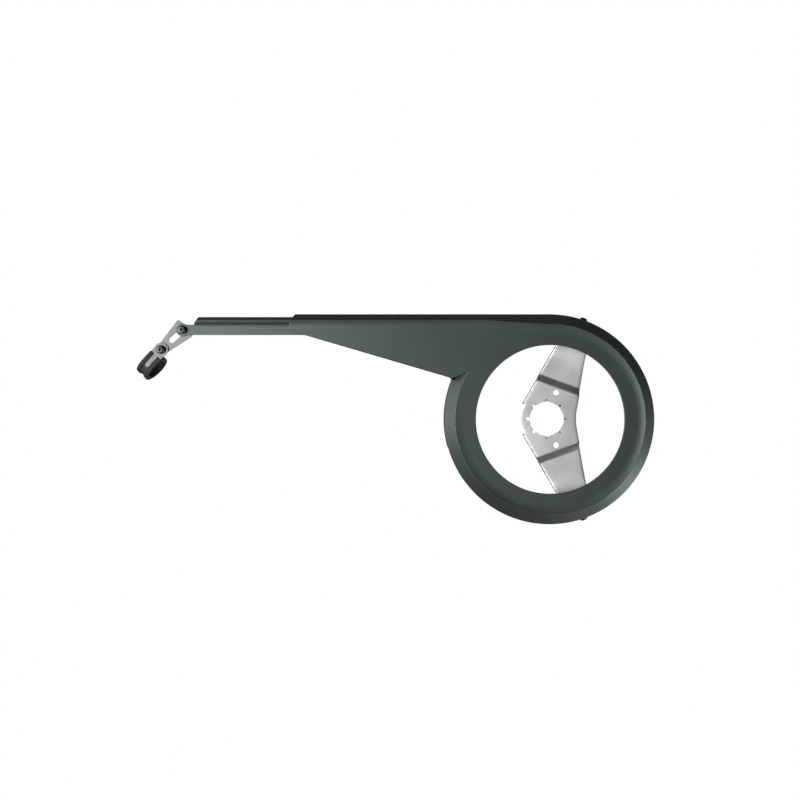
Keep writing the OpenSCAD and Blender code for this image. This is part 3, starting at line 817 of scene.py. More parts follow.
class Palette:
    """The finishes of the guard, each built once."""

    FINISHES = (
        Finish(
            "moulded_plastic", "black_plastic", (0.0205, 0.0265, 0.0245), (0.034, 0.041, 0.038),
            metallic=0.0, roughness=0.47, rough_spread=0.03, shade_spread=0.05,
            grain=2600.0, grain_depth=0.000006, wear=0.35, tint=(0.84, 1.0, 0.97),
        ),
        Finish(
            "rolled_steel", "bare_steel", (0.67, 0.685, 0.68), (0.75, 0.76, 0.755),
            metallic=1.0, roughness=0.45, rough_spread=0.04, shade_spread=0.04,
            grain=1500.0, grain_depth=0.000002, stretch=0.06, wear=0.5, scratches=0.06,
        ),
        Finish(
            "zinc_plate", "grey_steel", (0.092, 0.095, 0.094), (0.14, 0.145, 0.143),
            metallic=0.9, roughness=0.5, rough_spread=0.03, shade_spread=0.04,
            grain=1200.0, grain_depth=0.0000006, wear=0.4, scratches=0.05,
        ),
        Finish(
            "black_oxide", "black_steel", (0.04, 0.044, 0.043), (0.07, 0.075, 0.073),
            metallic=1.0, roughness=0.34, rough_spread=0.04, shade_spread=0.06,
            grain=2200.0, grain_depth=0.000001, wear=0.4, wear_radius=0.0002,
        ),
        Finish(
            "soft_rubber", "black_rubber", (0.012, 0.013, 0.013), (0.03, 0.03, 0.03),
            metallic=0.0, roughness=0.62, rough_spread=0.05, shade_spread=0.15,
            grain=1400.0, grain_depth=0.000008, wear=0.3, specular=0.22,
        ),
    )

    def __init__(self) -> None:
        """Builds the groups and every material."""
        wear, grain = edge_wear_group(), grain_group()
        self.materials = {finish.slot: finish.build(wear, grain) for finish in self.FINISHES}

    def dress(self, piece: bpy.types.Object, slot: str) -> None:
        """Gives a piece the finish of one material slot.

        Args:
            piece: The piece.
            slot: The slot of the finish.
        """
        piece.data.materials.clear()
        piece.data.materials.append(self.materials[slot])

    def settle(self, piece: bpy.types.Object, slot: str, body: Body, *nodes: str) -> None:
        """Dresses a finished piece and hands it to the frame.

        Args:
            piece: The piece.
            slot: The material slot that it takes its finish from.
            body: The body that it moves with.
            nodes: The CAD nodes that it stands for.
        """
        self.dress(piece, slot)
        weigh = piece.modifiers.new("weighted_normals", "WEIGHTED_NORMAL")
        weigh.keep_sharp = True
        weigh.weight = 80
        if nodes:
            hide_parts(*nodes)
        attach(piece, body.value)
        log.info("%s: %d faces, on %s", piece.name, len(piece.data.polygons), body.value)


# The guard


@dataclass
class GuardShell:
    """The moulded ring with its crested bevel, and the arm in one piece with it."""

    rim_r: float = 105.8
    window_r: float = 74.4
    wall: float = 2.5
    face: float = 28.0
    crest_rise: float = 2.0
    bevel_drop: float = 10.0
    ring_bevel: float = 10.5
    ring_shoulder: float = 9.0
    arm_bevel: float = 6.8
    arm_shoulder: float = 7.5
    widening: float = 70.0
    crease: float = 0.35
    rim_back: float = 1.0
    lip: float = 3.0
    gap: Point = (196.0, 262.0)
    arm_reach: float = 261.4
    arm_end_h: float = 16.5
    slope: float = 16.39
    heel_r: float = 2.2
    flange: float = 10.0
    fillet_r: float = 3.5
    mitre_from: Point = (-99.2, 40.25)
    mitre_to: Point = (-84.2, 46.9)
    mitre_w: float = 0.6
    mitre_clear: float = 0.55
    arm_until: float = 162.0
    crest_until: float = 120.0
    flush: Point = (150.0, 260.0)
    grid_from: float = 148.6
    slant: float = 5.3
    edge_r: float = 0.5

    # Where the grid has places: shares of the bevel and of the shoulder, and millimetres in from the rim
    BEVEL_ROWS = (0.06, 0.2, 0.4, 0.6, 0.8, 0.9, 0.95, 0.975, 1.0)
    SHOULDER_ROWS = (0.03, 0.06, 0.12, 0.22, 0.36, 0.52, 0.7, 0.85, 1.0)
    FACE_ROWS = (22.0, 25.0, 28.0, 30.0)
    ARM_ROWS = (-4, -3.2, -2.4, -1.6, -0.8, 0)

    @property
    def rim_level(self) -> float:
        """Outboard level of the skin at the rim."""
        return self.face + self.crest_rise - self.bevel_drop

    def ring_profile(self, s: np.ndarray, bevel: Value, shoulder: Value, rise: Value) -> np.ndarray:
        """Outboard level of the skin across the bevel, the crest and the shoulder.

        Args:
            s: Distances in from the rim.
            bevel: Width of the bevel.
            shoulder: Width of the shoulder.
            rise: The crest's rise above the face.

        Returns:
            The levels.
        """
        rising = self.rim_level + (self.face + rise - self.rim_level) * s / bevel
        share = np.clip((s - bevel) / shoulder, 0, 1)
        return np.minimum(rising, self.face + rise * (1 - share) ** 2)

    def inner_profile(self, s: np.ndarray, bevel: Value, shoulder: Value, rise: Value) -> np.ndarray:
        """Level of the inner skin, a wall's thickness below the outer one.

        Args:
            s: Distances in from the rim.
            bevel: Width of the bevel.
            shoulder: Width of the shoulder.
            rise: The crest's rise above the face.

        Returns:
            The levels.
        """
        drop = self.bevel_drop - self.crest_rise + rise
        rising = self.face + rise - drop + (s * drop - self.wall * np.hypot(bevel, drop)) / bevel
        share = np.clip((s - bevel) / shoulder, 0, 1)
        return np.minimum(rising, self.face + rise * (1 - share) ** 2 - self.wall)

    def widths(self, x: Value) -> tuple[Value, Value]:
        """Widths of the bevel and of the shoulder along the arm and the ring's top.

        Args:
            x: Places forward in the drawing.

        Returns:
            Both widths there.
        """
        m = smooth((x + self.widening) / self.widening)
        return mix(self.arm_bevel, self.ring_bevel, m), mix(self.arm_shoulder, self.ring_shoulder, m)

    def below_mitre(self, x: Value, z: Value) -> Value:
        """Distance of a place below the line where the arm's and the ring's slopes meet.

        Args:
            x: Places forward in the drawing.
            z: Their heights in the drawing.

        Returns:
            The distances, negative above the line.
        """
        (ax, az), (bx, bz) = self.mitre_from, self.mitre_to
        return ((x - ax) * (bz - az) - (z - az) * (bx - ax)) / hypot(bx - ax, bz - az)

    def level(self, profile: Heights, flat: float) -> Heights:
        """A skin's level over the whole plan.

        Args:
            profile: The skin's section.
            flat: Its level on the flat face.

        Returns:
            The level at any place.
        """
        floor = self.rim_level - (self.face - flat)

        def run(x: np.ndarray, z: np.ndarray) -> np.ndarray:
            """Levels at these places.

            Args:
                x: Places forward in the drawing.
                z: Their heights in the drawing.

            Returns:
                The levels.
            """
            r = np.hypot(x, z)
            angle = np.degrees(np.arctan2(z, x)) % 360
            arm = profile(self.rim_r - z, *self.widths(x), self.crest_rise)
            fade = smooth((angle - self.flush[0]) / (self.flush[1] - self.flush[0]))
            rise = self.crest_rise * np.where(angle > self.crest_until, fade, 1.0)
            ring = profile(self.rim_r - r, self.ring_bevel, self.ring_shoulder, rise)
            share = smooth((self.below_mitre(x, z) + self.mitre_w / 2) / self.mitre_w)
            share = np.where(r > self.rim_r + 5, 0.0, share)
            behind = (x < 0) & (angle > 90) & (angle < self.arm_until)
            return np.where(behind, arm + share * (np.maximum(ring, floor) - arm), ring)

        return run

    def skins(self) -> tuple[Heights, Heights]:
        """Levels of the front skin and of the back skin.

        Returns:
            Both levels at any place.
        """
        front = self.level(blurred(self.ring_profile, self.crease), self.face)
        return front, self.level(self.inner_profile, self.face - self.wall)

    def corner(self) -> tuple[Point, Point, Point]:
        """The fillet between the arm's lower edge and the rim.

        Returns:
            Its centre, and where it meets the arm's edge and the rim.
        """
        along = (cos(radians(self.slope)), -sin(radians(self.slope)))
        low = (-sin(radians(self.slope)), -cos(radians(self.slope)))
        start = (-self.arm_reach, self.rim_r - self.arm_end_h)
        offset = start[0] * low[0] + start[1] * low[1]
        reach = -sqrt((self.rim_r + self.fillet_r) ** 2 - (offset + self.fillet_r) ** 2)
        centre = tuple(reach * along[i] + (offset + self.fillet_r) * low[i] for i in (0, 1))
        on_edge = tuple(centre[i] - self.fillet_r * low[i] for i in (0, 1))
        on_rim = tuple(centre[i] * self.rim_r / (self.rim_r + self.fillet_r) for i in (0, 1))
        return centre, on_edge, on_rim

    def outline(self) -> Outline:
        """The outline from the arm's lower rear corner.

        Returns:
            The points with their kinds of edge.
        """
        centre, on_edge, on_rim = self.corner()
        end_x, low, top = -self.arm_reach, self.rim_r - self.arm_end_h, self.rim_r
        along = (cos(radians(self.slope)), -sin(radians(self.slope)))
        heel = (end_x + self.heel_r, low + self.heel_r * 0.75)
        past_heel = 2.6
        outline = Outline()
        outline.add(arc(heel, self.heel_r, 180, 254, 5), Edge.CUT)
        first = (end_x + past_heel * along[0], low + past_heel * along[1])
        outline.add(line(first, on_edge, 2.5, False), Edge.WALL)
        fillet = arc(centre, self.fillet_r, bearing(on_edge, centre), bearing(on_rim, centre), 9)
        outline.add(fillet[:-1], Edge.WALL)
        outline.add(arc((0, 0), self.rim_r, bearing(on_rim), 450, 290)[:-1], Edge.WALL)
        bevel_end = (end_x, top - self.arm_bevel)
        outline.add(line((0, top), (end_x + self.slant + 0.4, top), 3.0), Edge.WALL)
        outline.add(line((end_x + self.slant, top), bevel_end, 1.0, False), Edge.CUT)
        outline.add(line(bevel_end, (end_x, heel[1]), 1.5, False), Edge.CUT)
        return outline

    def insets(self, bevel: float, shoulder: float) -> list[float]:
        """Distances in from the rim that follow a bevel and its shoulder."""
        return [bevel * k for k in self.BEVEL_ROWS] + [bevel + shoulder * k for k in self.SHOULDER_ROWS]

    def grid(self) -> list[Point]:
        """Places inside the plan that follow the bevel, the shoulder and the mitre.

        Returns:
            The places.
        """
        points: list[Point] = []
        for x in np.arange(-self.arm_reach + 0.8, 0.1, 3.0):
            points += [(x, self.rim_r - s) for s in self.insets(*self.widths(x))]
        ring = [*self.insets(self.ring_bevel, self.ring_shoulder), *self.FACE_ROWS]
        for k in range(291):
            points += [polar(self.rim_r - s, mix(158.0, 450, k / 290)) for s in ring]
        for angle in np.arange(self.grid_from, 157.9, 0.4):
            points += [polar(self.rim_r - s, float(angle)) for s in [*self.ARM_ROWS, *ring]]
        (ax, az), (bx, bz) = self.mitre_from, self.mitre_to
        far = [abs(self.below_mitre(x, z)) > self.mitre_clear or x > bx + 1 or x < ax - 1 for x, z in points]
        points = [p for p, clear in zip(points, far) if clear]
        long = hypot(bx - ax, bz - az)
        side = ((bz - az) / long, (ax - bx) / long)
        half = self.mitre_w * 0.55
        for k in range(30):
            x, z = mix(ax, bx, k / 28), mix(az, bz, k / 28)
            points += [(x + side[0] * q * half, z + side[1] * q * half) for q in (-1, 1)]
        points += [polar(self.window_r + 3, float(angle)) for angle in np.arange(92.0, 150.0, 3.0)]
        return points

    def rows(self, kinds: list[Edge]) -> Rows:
        """The edge rows round the outline and the window.

        Args:
            kinds: The kind of edge at each point of the outline.

        Returns:
            The rows at a point of a loop.
        """
        front, back = self.skins()
        along_arm = (sin(radians(self.slope)), cos(radians(self.slope)))

        def run(loop: int, i: int, p: Point) -> list[Point]:
            """Rows at one point.

            Args:
                loop: Number of the loop, 0 for the outline.
                i: Number of the point in it.
                p: The point.

            Returns:
                Ten places (offset beyond the outline, out), from the front skin to the back skin.
            """
            r = hypot(*p)
            angle = bearing(p) % 360
            if loop == 1 or kinds[i] is Edge.CUT:
                top = level_at(front, p)
                return cut_rows(top, level_at(back, p) if loop == 1 else top - self.wall, self.edge_r)
            on_ring = angle > 155 and r < self.rim_r + 1 or p[0] > 0
            inward = (-p[0] / r, -p[1] / r) if on_ring else (0.0, -1.0)
            lower = p[1] < self.rim_r - 1 and p[0] < -self.rim_r * 0.9 and r > self.rim_r + 0.3
            if lower:
                inward = along_arm
            near, deep = ((p[0] + inward[0] * d, p[1] + inward[1] * d) for d in (self.edge_r, self.wall + ROOT))
            bottom = self.face - self.flange if lower else self.rim_back
            if self.gap[0] < angle < self.gap[1]:
                bottom = self.rim_level - self.lip
            inner = min(level_at(back, deep), level_at(front, deep) - self.wall)
            return wall_rows(level_at(front, near), inner, bottom, self.wall, self.edge_r)

        return run

    def build(self, palette: Palette) -> None:
        """Makes the shell and hands it over.

        Args:
            palette: The finishes.
        """
        outline = self.outline()
        loops = [outline.points, round_hole((0, 0), self.window_r, 240)]
        sheet = Sheet("guard_ring_and_arm", loops, *self.skins(), self.rows(outline.kinds), self.grid(), 35.0)
        palette.settle(sheet.build(), "black_plastic", Body.GUARD, "guard_shell")


# The bracket


@dataclass
class Bracket:
    """The pressed steel bracket: hub, two joggled arms with bent flanges, and tabs under the rim."""

    hole_r: float = 17.5
    hub_r: float = 25.3
    sheet: float = 2.0
    notches: int = 8
    notch_h: float = 3.0
    notch_w: float = 3.0
    tilt: float = 70.0
    apex: float = 166.0
    taper: float = 10.1
    step_z: float = 15.4
    joggle_from: float = 34.5
    joggle_l: float = 5.8
    joggle_h: float = 4.5
    end_from: float = 59.0
    end_l: float = 22.0
    end_rise: float = 2.2
    flange: float = 4.5
    flange_r: float = 1.3
    flange_root: float = 0.35
    tab_r: float = 103.15
    tab_reach: float = 13.0
    bend_r: float = 2.0
    small_r: float = 2.95
    small_x: float = 9.7
    small_gap: float = 54.0
    edge_r: float = 0.25
    step: float = 1.6

    def at(self, u: float, side: float, upper: float) -> Point:
        """A point on an arm.

        Args:
            u: How far along the arm.
            side: Its front edge (1) to its rear edge (-1).
            upper: 1 for the upper arm, -1 for the lower.

        Returns:
            The point.
        """
        half = (self.apex - u) * tan(radians(self.taper)) * side
        c, s = polar(1.0, self.tilt)
        return u * c + half * s, upper * (u * s - half * c)

    def level(self, drop: float) -> Heights:
        """Level of the front skin, or of the back skin a sheet's thickness below.

        Args:
            drop: How far below the front skin.

        Returns:
            The level at any place.
        """
        (c, s), shifts = polar(1.0, self.tilt), (-1.2, -0.8, -0.4, 0.0, 0.4, 0.8, 1.2)

        def run(x: np.ndarray, z: np.ndarray) -> np.ndarray:
            """Levels at these places.

            Args:
                x: Places forward in the drawing.
                z: Their heights in the drawing.

            Returns:
                The levels.
            """
            u = x * c + np.abs(z) * s
            total = sum(np.clip((u + k - self.joggle_from) / self.joggle_l, 0, 1) for k in shifts) / len(shifts)
            return -self.joggle_h * total + self.end_rise * smooth((u - self.end_from) / self.end_l) - drop

        return run

    def outline(self) -> Outline:
        """The outline from the right-hand corner.

        Returns:
            The points with their kinds of edge.
        """
        (c, s), k = polar(1.0, self.tilt), tan(radians(self.taper))
        front_u = self.apex * k * c / (s + k * c) + 5.0
        rear_u = (self.step_z - self.apex * k * c) / (s - k * c)
        half = degrees(asin((self.apex - self.tab_r) * k / self.tab_r))
        end_u = self.tab_r * cos(radians(half)) - 0.2 - 1
        upper = Outline()
        upper.add([self.at(u, 1, 1) for u in np.arange(front_u, end_u, self.step)], Edge.WALL)
        upper.add([polar(self.tab_r, self.tilt - half + 2 * half * i / 14) for i in range(15)], Edge.TAB)
        upper.add([self.at(u, -1, 1) for u in np.arange(end_u, rear_u + 0.5, -self.step)], Edge.WALL)
        corner = self.at(rear_u, -1, 1)
        angle = degrees(asin(self.step_z / self.hub_r))
        meet = polar(self.hub_r, 180 - angle)
        upper.add([corner, (corner[0] * 0.5 + meet[0] * 0.5, self.step_z)], Edge.CUT)
        whole = Outline([*upper.points], [*upper.kinds])
        whole.add(arc((0, 0), self.hub_r, 180 - angle, 180 + angle, 30), Edge.CUT)
        whole.points += [(x, -z) for x, z in reversed(upper.points)]
        whole.kinds += reversed(upper.kinds)
        return whole

    def hole(self) -> list[Point]:
        """The bottom bracket hole with its bite notches.

        Returns:
            Its points, clockwise.
        """
        points: list[Point] = []
        half_w, far = self.notch_w / 2, self.hole_r + self.notch_h
        edge = sqrt(self.hole_r ** 2 - half_w ** 2)
        side = [(edge, half_w), (mix(edge, far, 0.5), half_w), (far - 0.4, half_w), (far - 0.1, half_w - 0.35)]
        notch = [(a, -b) for a, b in side] + [(far, 0.0)] + side[::-1]
        half, apart = degrees(asin(half_w / self.hole_r)), 360 / self.notches
        for k in range(self.notches):
            middle = 360 * k / self.notches
            points += turned(notch, middle)
            points += arc((0, 0), self.hole_r, middle + half, middle + apart - half, 10)[1:-1]
        return list(reversed(points))

    def rows(self, kinds: list[Edge]) -> Rows:
        """The edge rows round the outline and the holes.

        Args:
            kinds: The kind of edge at each point of the outline.

        Returns:
            The rows at a point of a loop.
        """
        front, back = self.level(0.0), self.level(self.sheet)
        inner_r, outer_r, edge = self.bend_r, self.bend_r + self.sheet, self.tab_reach - 0.3

        def bend(out: float, r: float, angles: Sequence[int]) -> list[Point]:
            """Rows round a tab's bend."""
            return [(-outer_r + r * sin(radians(a)), out + r * (1 - cos(radians(a)))) for a in angles]

        def run(loop: int, i: int, p: Point) -> list[Point]:
            """Rows at one point.

            Args:
                loop: Number of the loop, 0 for the outline.
                i: Number of the point in it.
                p: The point.

            Returns:
                Ten places (offset beyond the outline, out), from the front skin to the back skin.
            """
            top, low = level_at(front, p), level_at(back, p)
            if loop > 0 or kinds[i] is Edge.CUT:
                return cut_rows(top, low, self.edge_r)
            if kinds[i] is Edge.TAB:
                tip = [(-self.sheet, edge), (-self.sheet / 2, self.tab_reach), (0.0, edge)]
                return bend(top, inner_r, (0, 45, 90)) + tip + bend(low, outer_r, QUARTER[::-1])
            return wall_rows(top, low, top - self.flange, self.sheet, self.flange_r, self.flange_root)

        return run

    def grid(self) -> list[Point]:
        """Places inside the plan, close together across the joggle.

        Returns:
            The places.
        """
        points: list[Point] = []
        ways = [*np.arange(-20, 32, 6.0), *np.arange(32.4, 43.0, 0.6), *np.arange(44, 101, 5.0)]
        for upper in (1, -1):
            for u in ways:
                row = [self.at(float(u), float(side), upper) for side in np.linspace(-0.97, 0.97, 15)]
                points += [(x, z) for x, z in row if z * upper > 0.4]
        return points

    def teeth(self, palette: Palette) -> bpy.types.Object:
        """The bite teeth pressed up beside the notches, placed round the hole by a node tree.

        Args:
            palette: The finishes.

        Returns:
            All the teeth as one piece.
        """
        half, back, tip = self.notch_w / 2 - 0.35, -1.2, 1.5
        tooth = rounded([(back, -half), (tip, -half), (tip, half), (back, half)], [0.5, 0.1, 0.1, 0.5], 3)
        foot = [(x, y, -1.7) for x, y in tooth]
        head = [(x * 0.94, y * 0.9, mix(0.75, -0.15, (x - back) / (tip - back))) for x, y in tooth]
        seed = skinned("tooth_seed", [foot, head])
        r = self.hole_r + self.notch_h - 1.3
        teeth = repeat_round("bracket_teeth", seed, self.notches, r, palette.materials["bare_steel"])
        return place(teeth, (0, 0, 0), (0, -1, 0))

    def build(self, palette: Palette) -> None:
        """Makes the bracket and hands it over.

        Args:
            palette: The finishes.
        """
        outline = self.outline()
        loops = [outline.points, self.hole()]
        loops += [round_hole((self.small_x, side * self.small_gap / 2), self.small_r, 32) for side in (-1, 1)]
        skins = self.level(0.0), self.level(self.sheet)
        sheet = Sheet("pressed_bracket", loops, *skins, self.rows(outline.kinds), self.grid(), 28.0)
        palette.settle(sheet.build(), "bare_steel", Body.GUARD, "bottom_bracket_plate")
        palette.settle(self.teeth(palette), "bare_steel", Body.GUARD)


def repeat_round(
    name: str, seed: bpy.types.Object, count: int, radius: float, material: bpy.types.Material
) -> bpy.types.Object:
    """Repeats a small shape round a circle with a Geometry Nodes tree.

    Args:
        name: The new piece's name.
        seed: The shape to repeat, drawn at the origin with its outer side towards +x. It is removed.
        count: How many copies.
        radius: Radius of the circle in millimetres.
        material: The copies' material.

    Returns:
        The copies as one plain mesh round the z axis.
    """
    sorts = {"Geometry": "Geometry", "Count": "Int", "Radius": "Float", "Material": "Material"}
    inputs = {key: (sort, None) for key, sort in sorts.items()}
    tree, n = new_group(name + "_ring", "GeometryNodeTree", inputs, {"Geometry": "Geometry"})
    source, out = n.add("NodeGroupInput"), n.add("NodeGroupOutput")
    circle = n.add(
        "GeometryNodeMeshCircle", {"Vertices": source.outputs["Count"], "Radius": source.outputs["Radius"]}
    )
    apart = n.add("ShaderNodeSeparateXYZ", {0: n.add("GeometryNodeInputPosition").outputs[0]})
    angle = n.math("ARCTAN2", apart.outputs["Y"], apart.outputs["X"])
    turn = n.add("ShaderNodeCombineXYZ", {"Z": angle})
    copies = n.add("GeometryNodeInstanceOnPoints", {
        "Points": circle.outputs[0], "Instance": source.outputs["Geometry"], "Rotation": turn.outputs[0],
    })
    real = n.add("GeometryNodeRealizeInstances", {0: copies.outputs[0]})
    paint = n.add(
        "GeometryNodeSetMaterial", {"Geometry": real.outputs[0], "Material": source.outputs["Material"]}
    )
    n.feed(out.inputs[0], paint.outputs[0])
    modifier = seed.modifiers.new("repeat", "NODES")
    modifier.node_group = tree
    values = {"Count": count, "Radius": radius * MM, "Material": material}
    for item in tree.interface.items_tree:
        if item.in_out == "INPUT" and item.name in values:
            modifier[item.identifier] = values[item.name]
    seed.update_tag()
    bpy.context.view_layer.update()
    mesh = bpy.data.meshes.new_from_object(seed.evaluated_get(bpy.context.evaluated_depsgraph_get()))
    bpy.data.objects.remove(seed)
    mesh.name = name
    return add_object(name, mesh)


# The rail


@dataclass
class Rail:
    """The extension rail: a flat web, a groove and a rounded bead above it, and a tongue with a boss."""

    bolt_x: float = -368.5
    bolt_z: float = 89.75
    boss_r: float = 6.5
    bolt_r: float = 2.55
    bottom: float = 84.6
    web_top: float = 94.9
    top: float = 102.8
    front_out: float = 25.2
    thick: float = 2.0
    end_x: float = -165.0
    bead_low: Point = (-357.2, 94.9)
    bead_high: Point = (-353.0, 102.8)
    lip_bottom: float = 15.4
    lip_drop: float = 3.6
    edge_r: float = 0.3
    thinnest: float = 0.8

    # Outboard level of the skin at heights in the drawing
    SECTION = (
        (84.0, 25.2), (94.3, 25.2), (94.8, 25.05), (95.3, 24.3), (95.9, 24.1), (96.3, 24.8), (96.8, 25.8),
        (97.4, 26.3), (98.6, 26.55), (99.2, 26.5), (99.8, 26.15), (100.5, 25.5), (102.4, 22.7), (102.8, 22.1),
        (103.5, 21.1),
    )
    END_HEIGHTS = (87.0, 90.0, 93.0, 94.9, 95.7, 96.5, 97.5, 98.5, 99.5, 100.3, 101.2, 102.2)
    GRID_HEIGHTS = (86.0, 89.0, 92.0, 95.3, 96.0, 96.6, 97.4, 98.4, 101.0, 101.6, 102.1)

    def front(self, x: np.ndarray, z: np.ndarray) -> np.ndarray:
        """Level of the outboard skin.

        Args:
            x: Places forward in the drawing.
            z: Their heights in the drawing.

        Returns:
            The levels.
        """
        table = np.array(self.SECTION)
        shifts = (-0.25, -0.1, 0.1, 0.25)
        level = sum(np.interp(z + k, table[:, 0], table[:, 1]) for k in shifts) / len(shifts)
        return np.where(x < self.bead_low[0] - 2.0, self.front_out, level)

    def back(self, _: np.ndarray, z: np.ndarray) -> np.ndarray:
        """Level of the inboard skin.

        Args:
            _: Places forward, which make no difference.
            z: Heights in the drawing.

        Returns:
            The levels.
        """
        table = np.array(self.SECTION)
        return np.minimum(np.interp(z + 0.9, table[:, 0], table[:, 1]), self.front_out) - self.thick

    def outline(self) -> Outline:
        """The outline from the boss's lowest point.

        Returns:
            The points with their kinds of edge.
        """
        rise = self.bolt_z - self.bottom
        across = sqrt(self.boss_r ** 2 - rise ** 2)
        low = degrees(asin(rise / self.boss_r))
        high = degrees(asin((self.web_top - self.bolt_z) / self.boss_r))
        outline = Outline()
        outline.add(
            line((self.bolt_x + across + 0.6, self.bottom), (self.end_x, self.bottom), 4.0), Edge.CUT
        )
        outline.add([(self.end_x, z) for z in self.END_HEIGHTS], Edge.CUT)
        outline.add(line((self.end_x, self.top), self.bead_high, 4.0), Edge.WALL)
        bead_end = [self.bead_high, (-354.6, 99.6), (-356.4, 97.2), self.bead_low, (-358.2, self.web_top)]
        outline.add(rounded(bead_end, [0, 3.0, 3.0, 0.8, 0], 4)[1:], Edge.CUT)
        boss_x = self.bolt_x + self.boss_r * cos(radians(high)) + 0.5
        outline.add(line((-359.4, self.web_top), (boss_x, self.web_top), 1.5), Edge.CUT)
        outline.add(arc((self.bolt_x, self.bolt_z), self.boss_r, high, 360 - low, 48), Edge.CUT)
        return outline

    def rows(self, kinds: list[Edge]) -> Rows:
        """The edge rows round the outline and the bolt's hole.

        Args:
            kinds: The kind of edge at each point of the outline.

        Returns:
            The rows at a point of a loop.
        """

        def run(loop: int, i: int, p: Point) -> list[Point]:
            """Rows at one point.

            Args:
                loop: Number of the loop, 0 for the outline.
                i: Number of the point in it.
                p: The point.

            Returns:
                Ten places (offset beyond the outline, out), from the front skin to the back skin.
            """
            x, z = p
            if loop == 0 and kinds[i] is Edge.WALL:
                near = level_at(self.front, (x, z - self.edge_r))
                deep = level_at(self.front, (x, z - self.thick - ROOT)) - self.lip_drop
                return wall_rows(near, deep, self.lip_bottom, self.thick, self.edge_r)
            front = level_at(self.front, p)
            return cut_rows(front, min(level_at(self.back, p), front - self.thinnest), self.edge_r)

        return run

    def build(self, palette: Palette) -> None:
        """Makes the rail and hands it over.

        Args:
            palette: The finishes.
        """
        outline = self.outline()
        loops = [outline.points, round_hole((self.bolt_x, self.bolt_z), self.bolt_r, 32)]
        heights = [z for z, _ in self.SECTION[1:-1]] + [*self.GRID_HEIGHTS]
        grid = [(float(x), z) for x in np.arange(-374, self.end_x, 2.5) for z in heights]
        sheet = Sheet("sliding_rail", loops, self.front, self.back, self.rows(outline.kinds), grid, 30.0)
        palette.settle(sheet.build(), "black_plastic", Body.RAIL, "extension_rail")


# The link and the hardware


@dataclass
class Link:
    """The fan-shaped link plate with its slot."""

    at: Point = (-389.998, 69.842)
    angle: float = 42.8
    back_out: float = 21.6
    thick: float = 1.5
    end_r: float = 5.3
    fan_r: float = 34.5
    taper: float = 10.1
    corner_r: float = 2.0
    slot_w: float = 5.8
    slot_from: float = 14.2
    slot_to: float = 29.3
    hole_r: float = 2.55
    edge_r: float = 0.22

    def outline(self) -> list[Point]:
        """The plate's outline from its own lower hole, with the slot along +x.

        Returns:
            Its points, anticlockwise.
        """
        k = tan(radians(self.taper))
        a, b, c = 1 + k * k, 2 * k * self.end_r, self.end_r ** 2 - self.fan_r ** 2
        x = (-b + sqrt(b * b - 4 * a * c)) / (2 * a)
        half = bearing((x, self.end_r + k * x))
        fan = arc((0, 0), self.fan_r, -half, half, 16)
        left = arc((0, 0), self.end_r, 90, 270, 24)
        steps = rounded([fan[0], fan[3], (fan[8][0], 0.0), left[-1]], [self.corner_r, 0, 0, 0], 8)[:9]
        mirrored = [(p[0], -p[1]) for p in reversed(steps)]
        lower = line(left[-1], steps[0], 2.0)
        upper = line(mirrored[-1], left[0], 2.0, False)
        return lower[:-1] + steps + fan[3:14] + mirrored + upper[1:] + left[:-1]

    def slot(self) -> list[Point]:
        """The slot's outline, clockwise.

        Returns:
            Its points.
        """
        r, near, far = self.slot_w / 2, self.slot_from, self.slot_to
        points = arc((far, 0), r, 90, -90, 14) + line((far, -r), (near, -r), 2.0, False)[1:]
        return points + arc((near, 0), r, 270, 90, 14) + line((near, r), (far, r), 2.0, False)[1:]

    def build(self, palette: Palette) -> None:
        """Makes the plate and hands it over.

        Args:
            palette: The finishes.
        """
        front = self.back_out + self.thick
        edge = cut_rows(front, self.back_out, self.edge_r)
        shapes = [self.outline(), self.slot(), round_hole((0, 0), self.hole_r, 28)]

        def flat(level: float) -> Heights:
            """A skin that is level all over."""
            return lambda x, _: np.full(np.shape(x), level)

        sheet = Sheet(
            "slotted_link", [turned(shape, self.angle, self.at) for shape in shapes],
            flat(front), flat(self.back_out), lambda *_: edge, sharp=30.0,
        )
        palette.settle(sheet.build(), "grey_steel", Body.LINK, "link_plate")


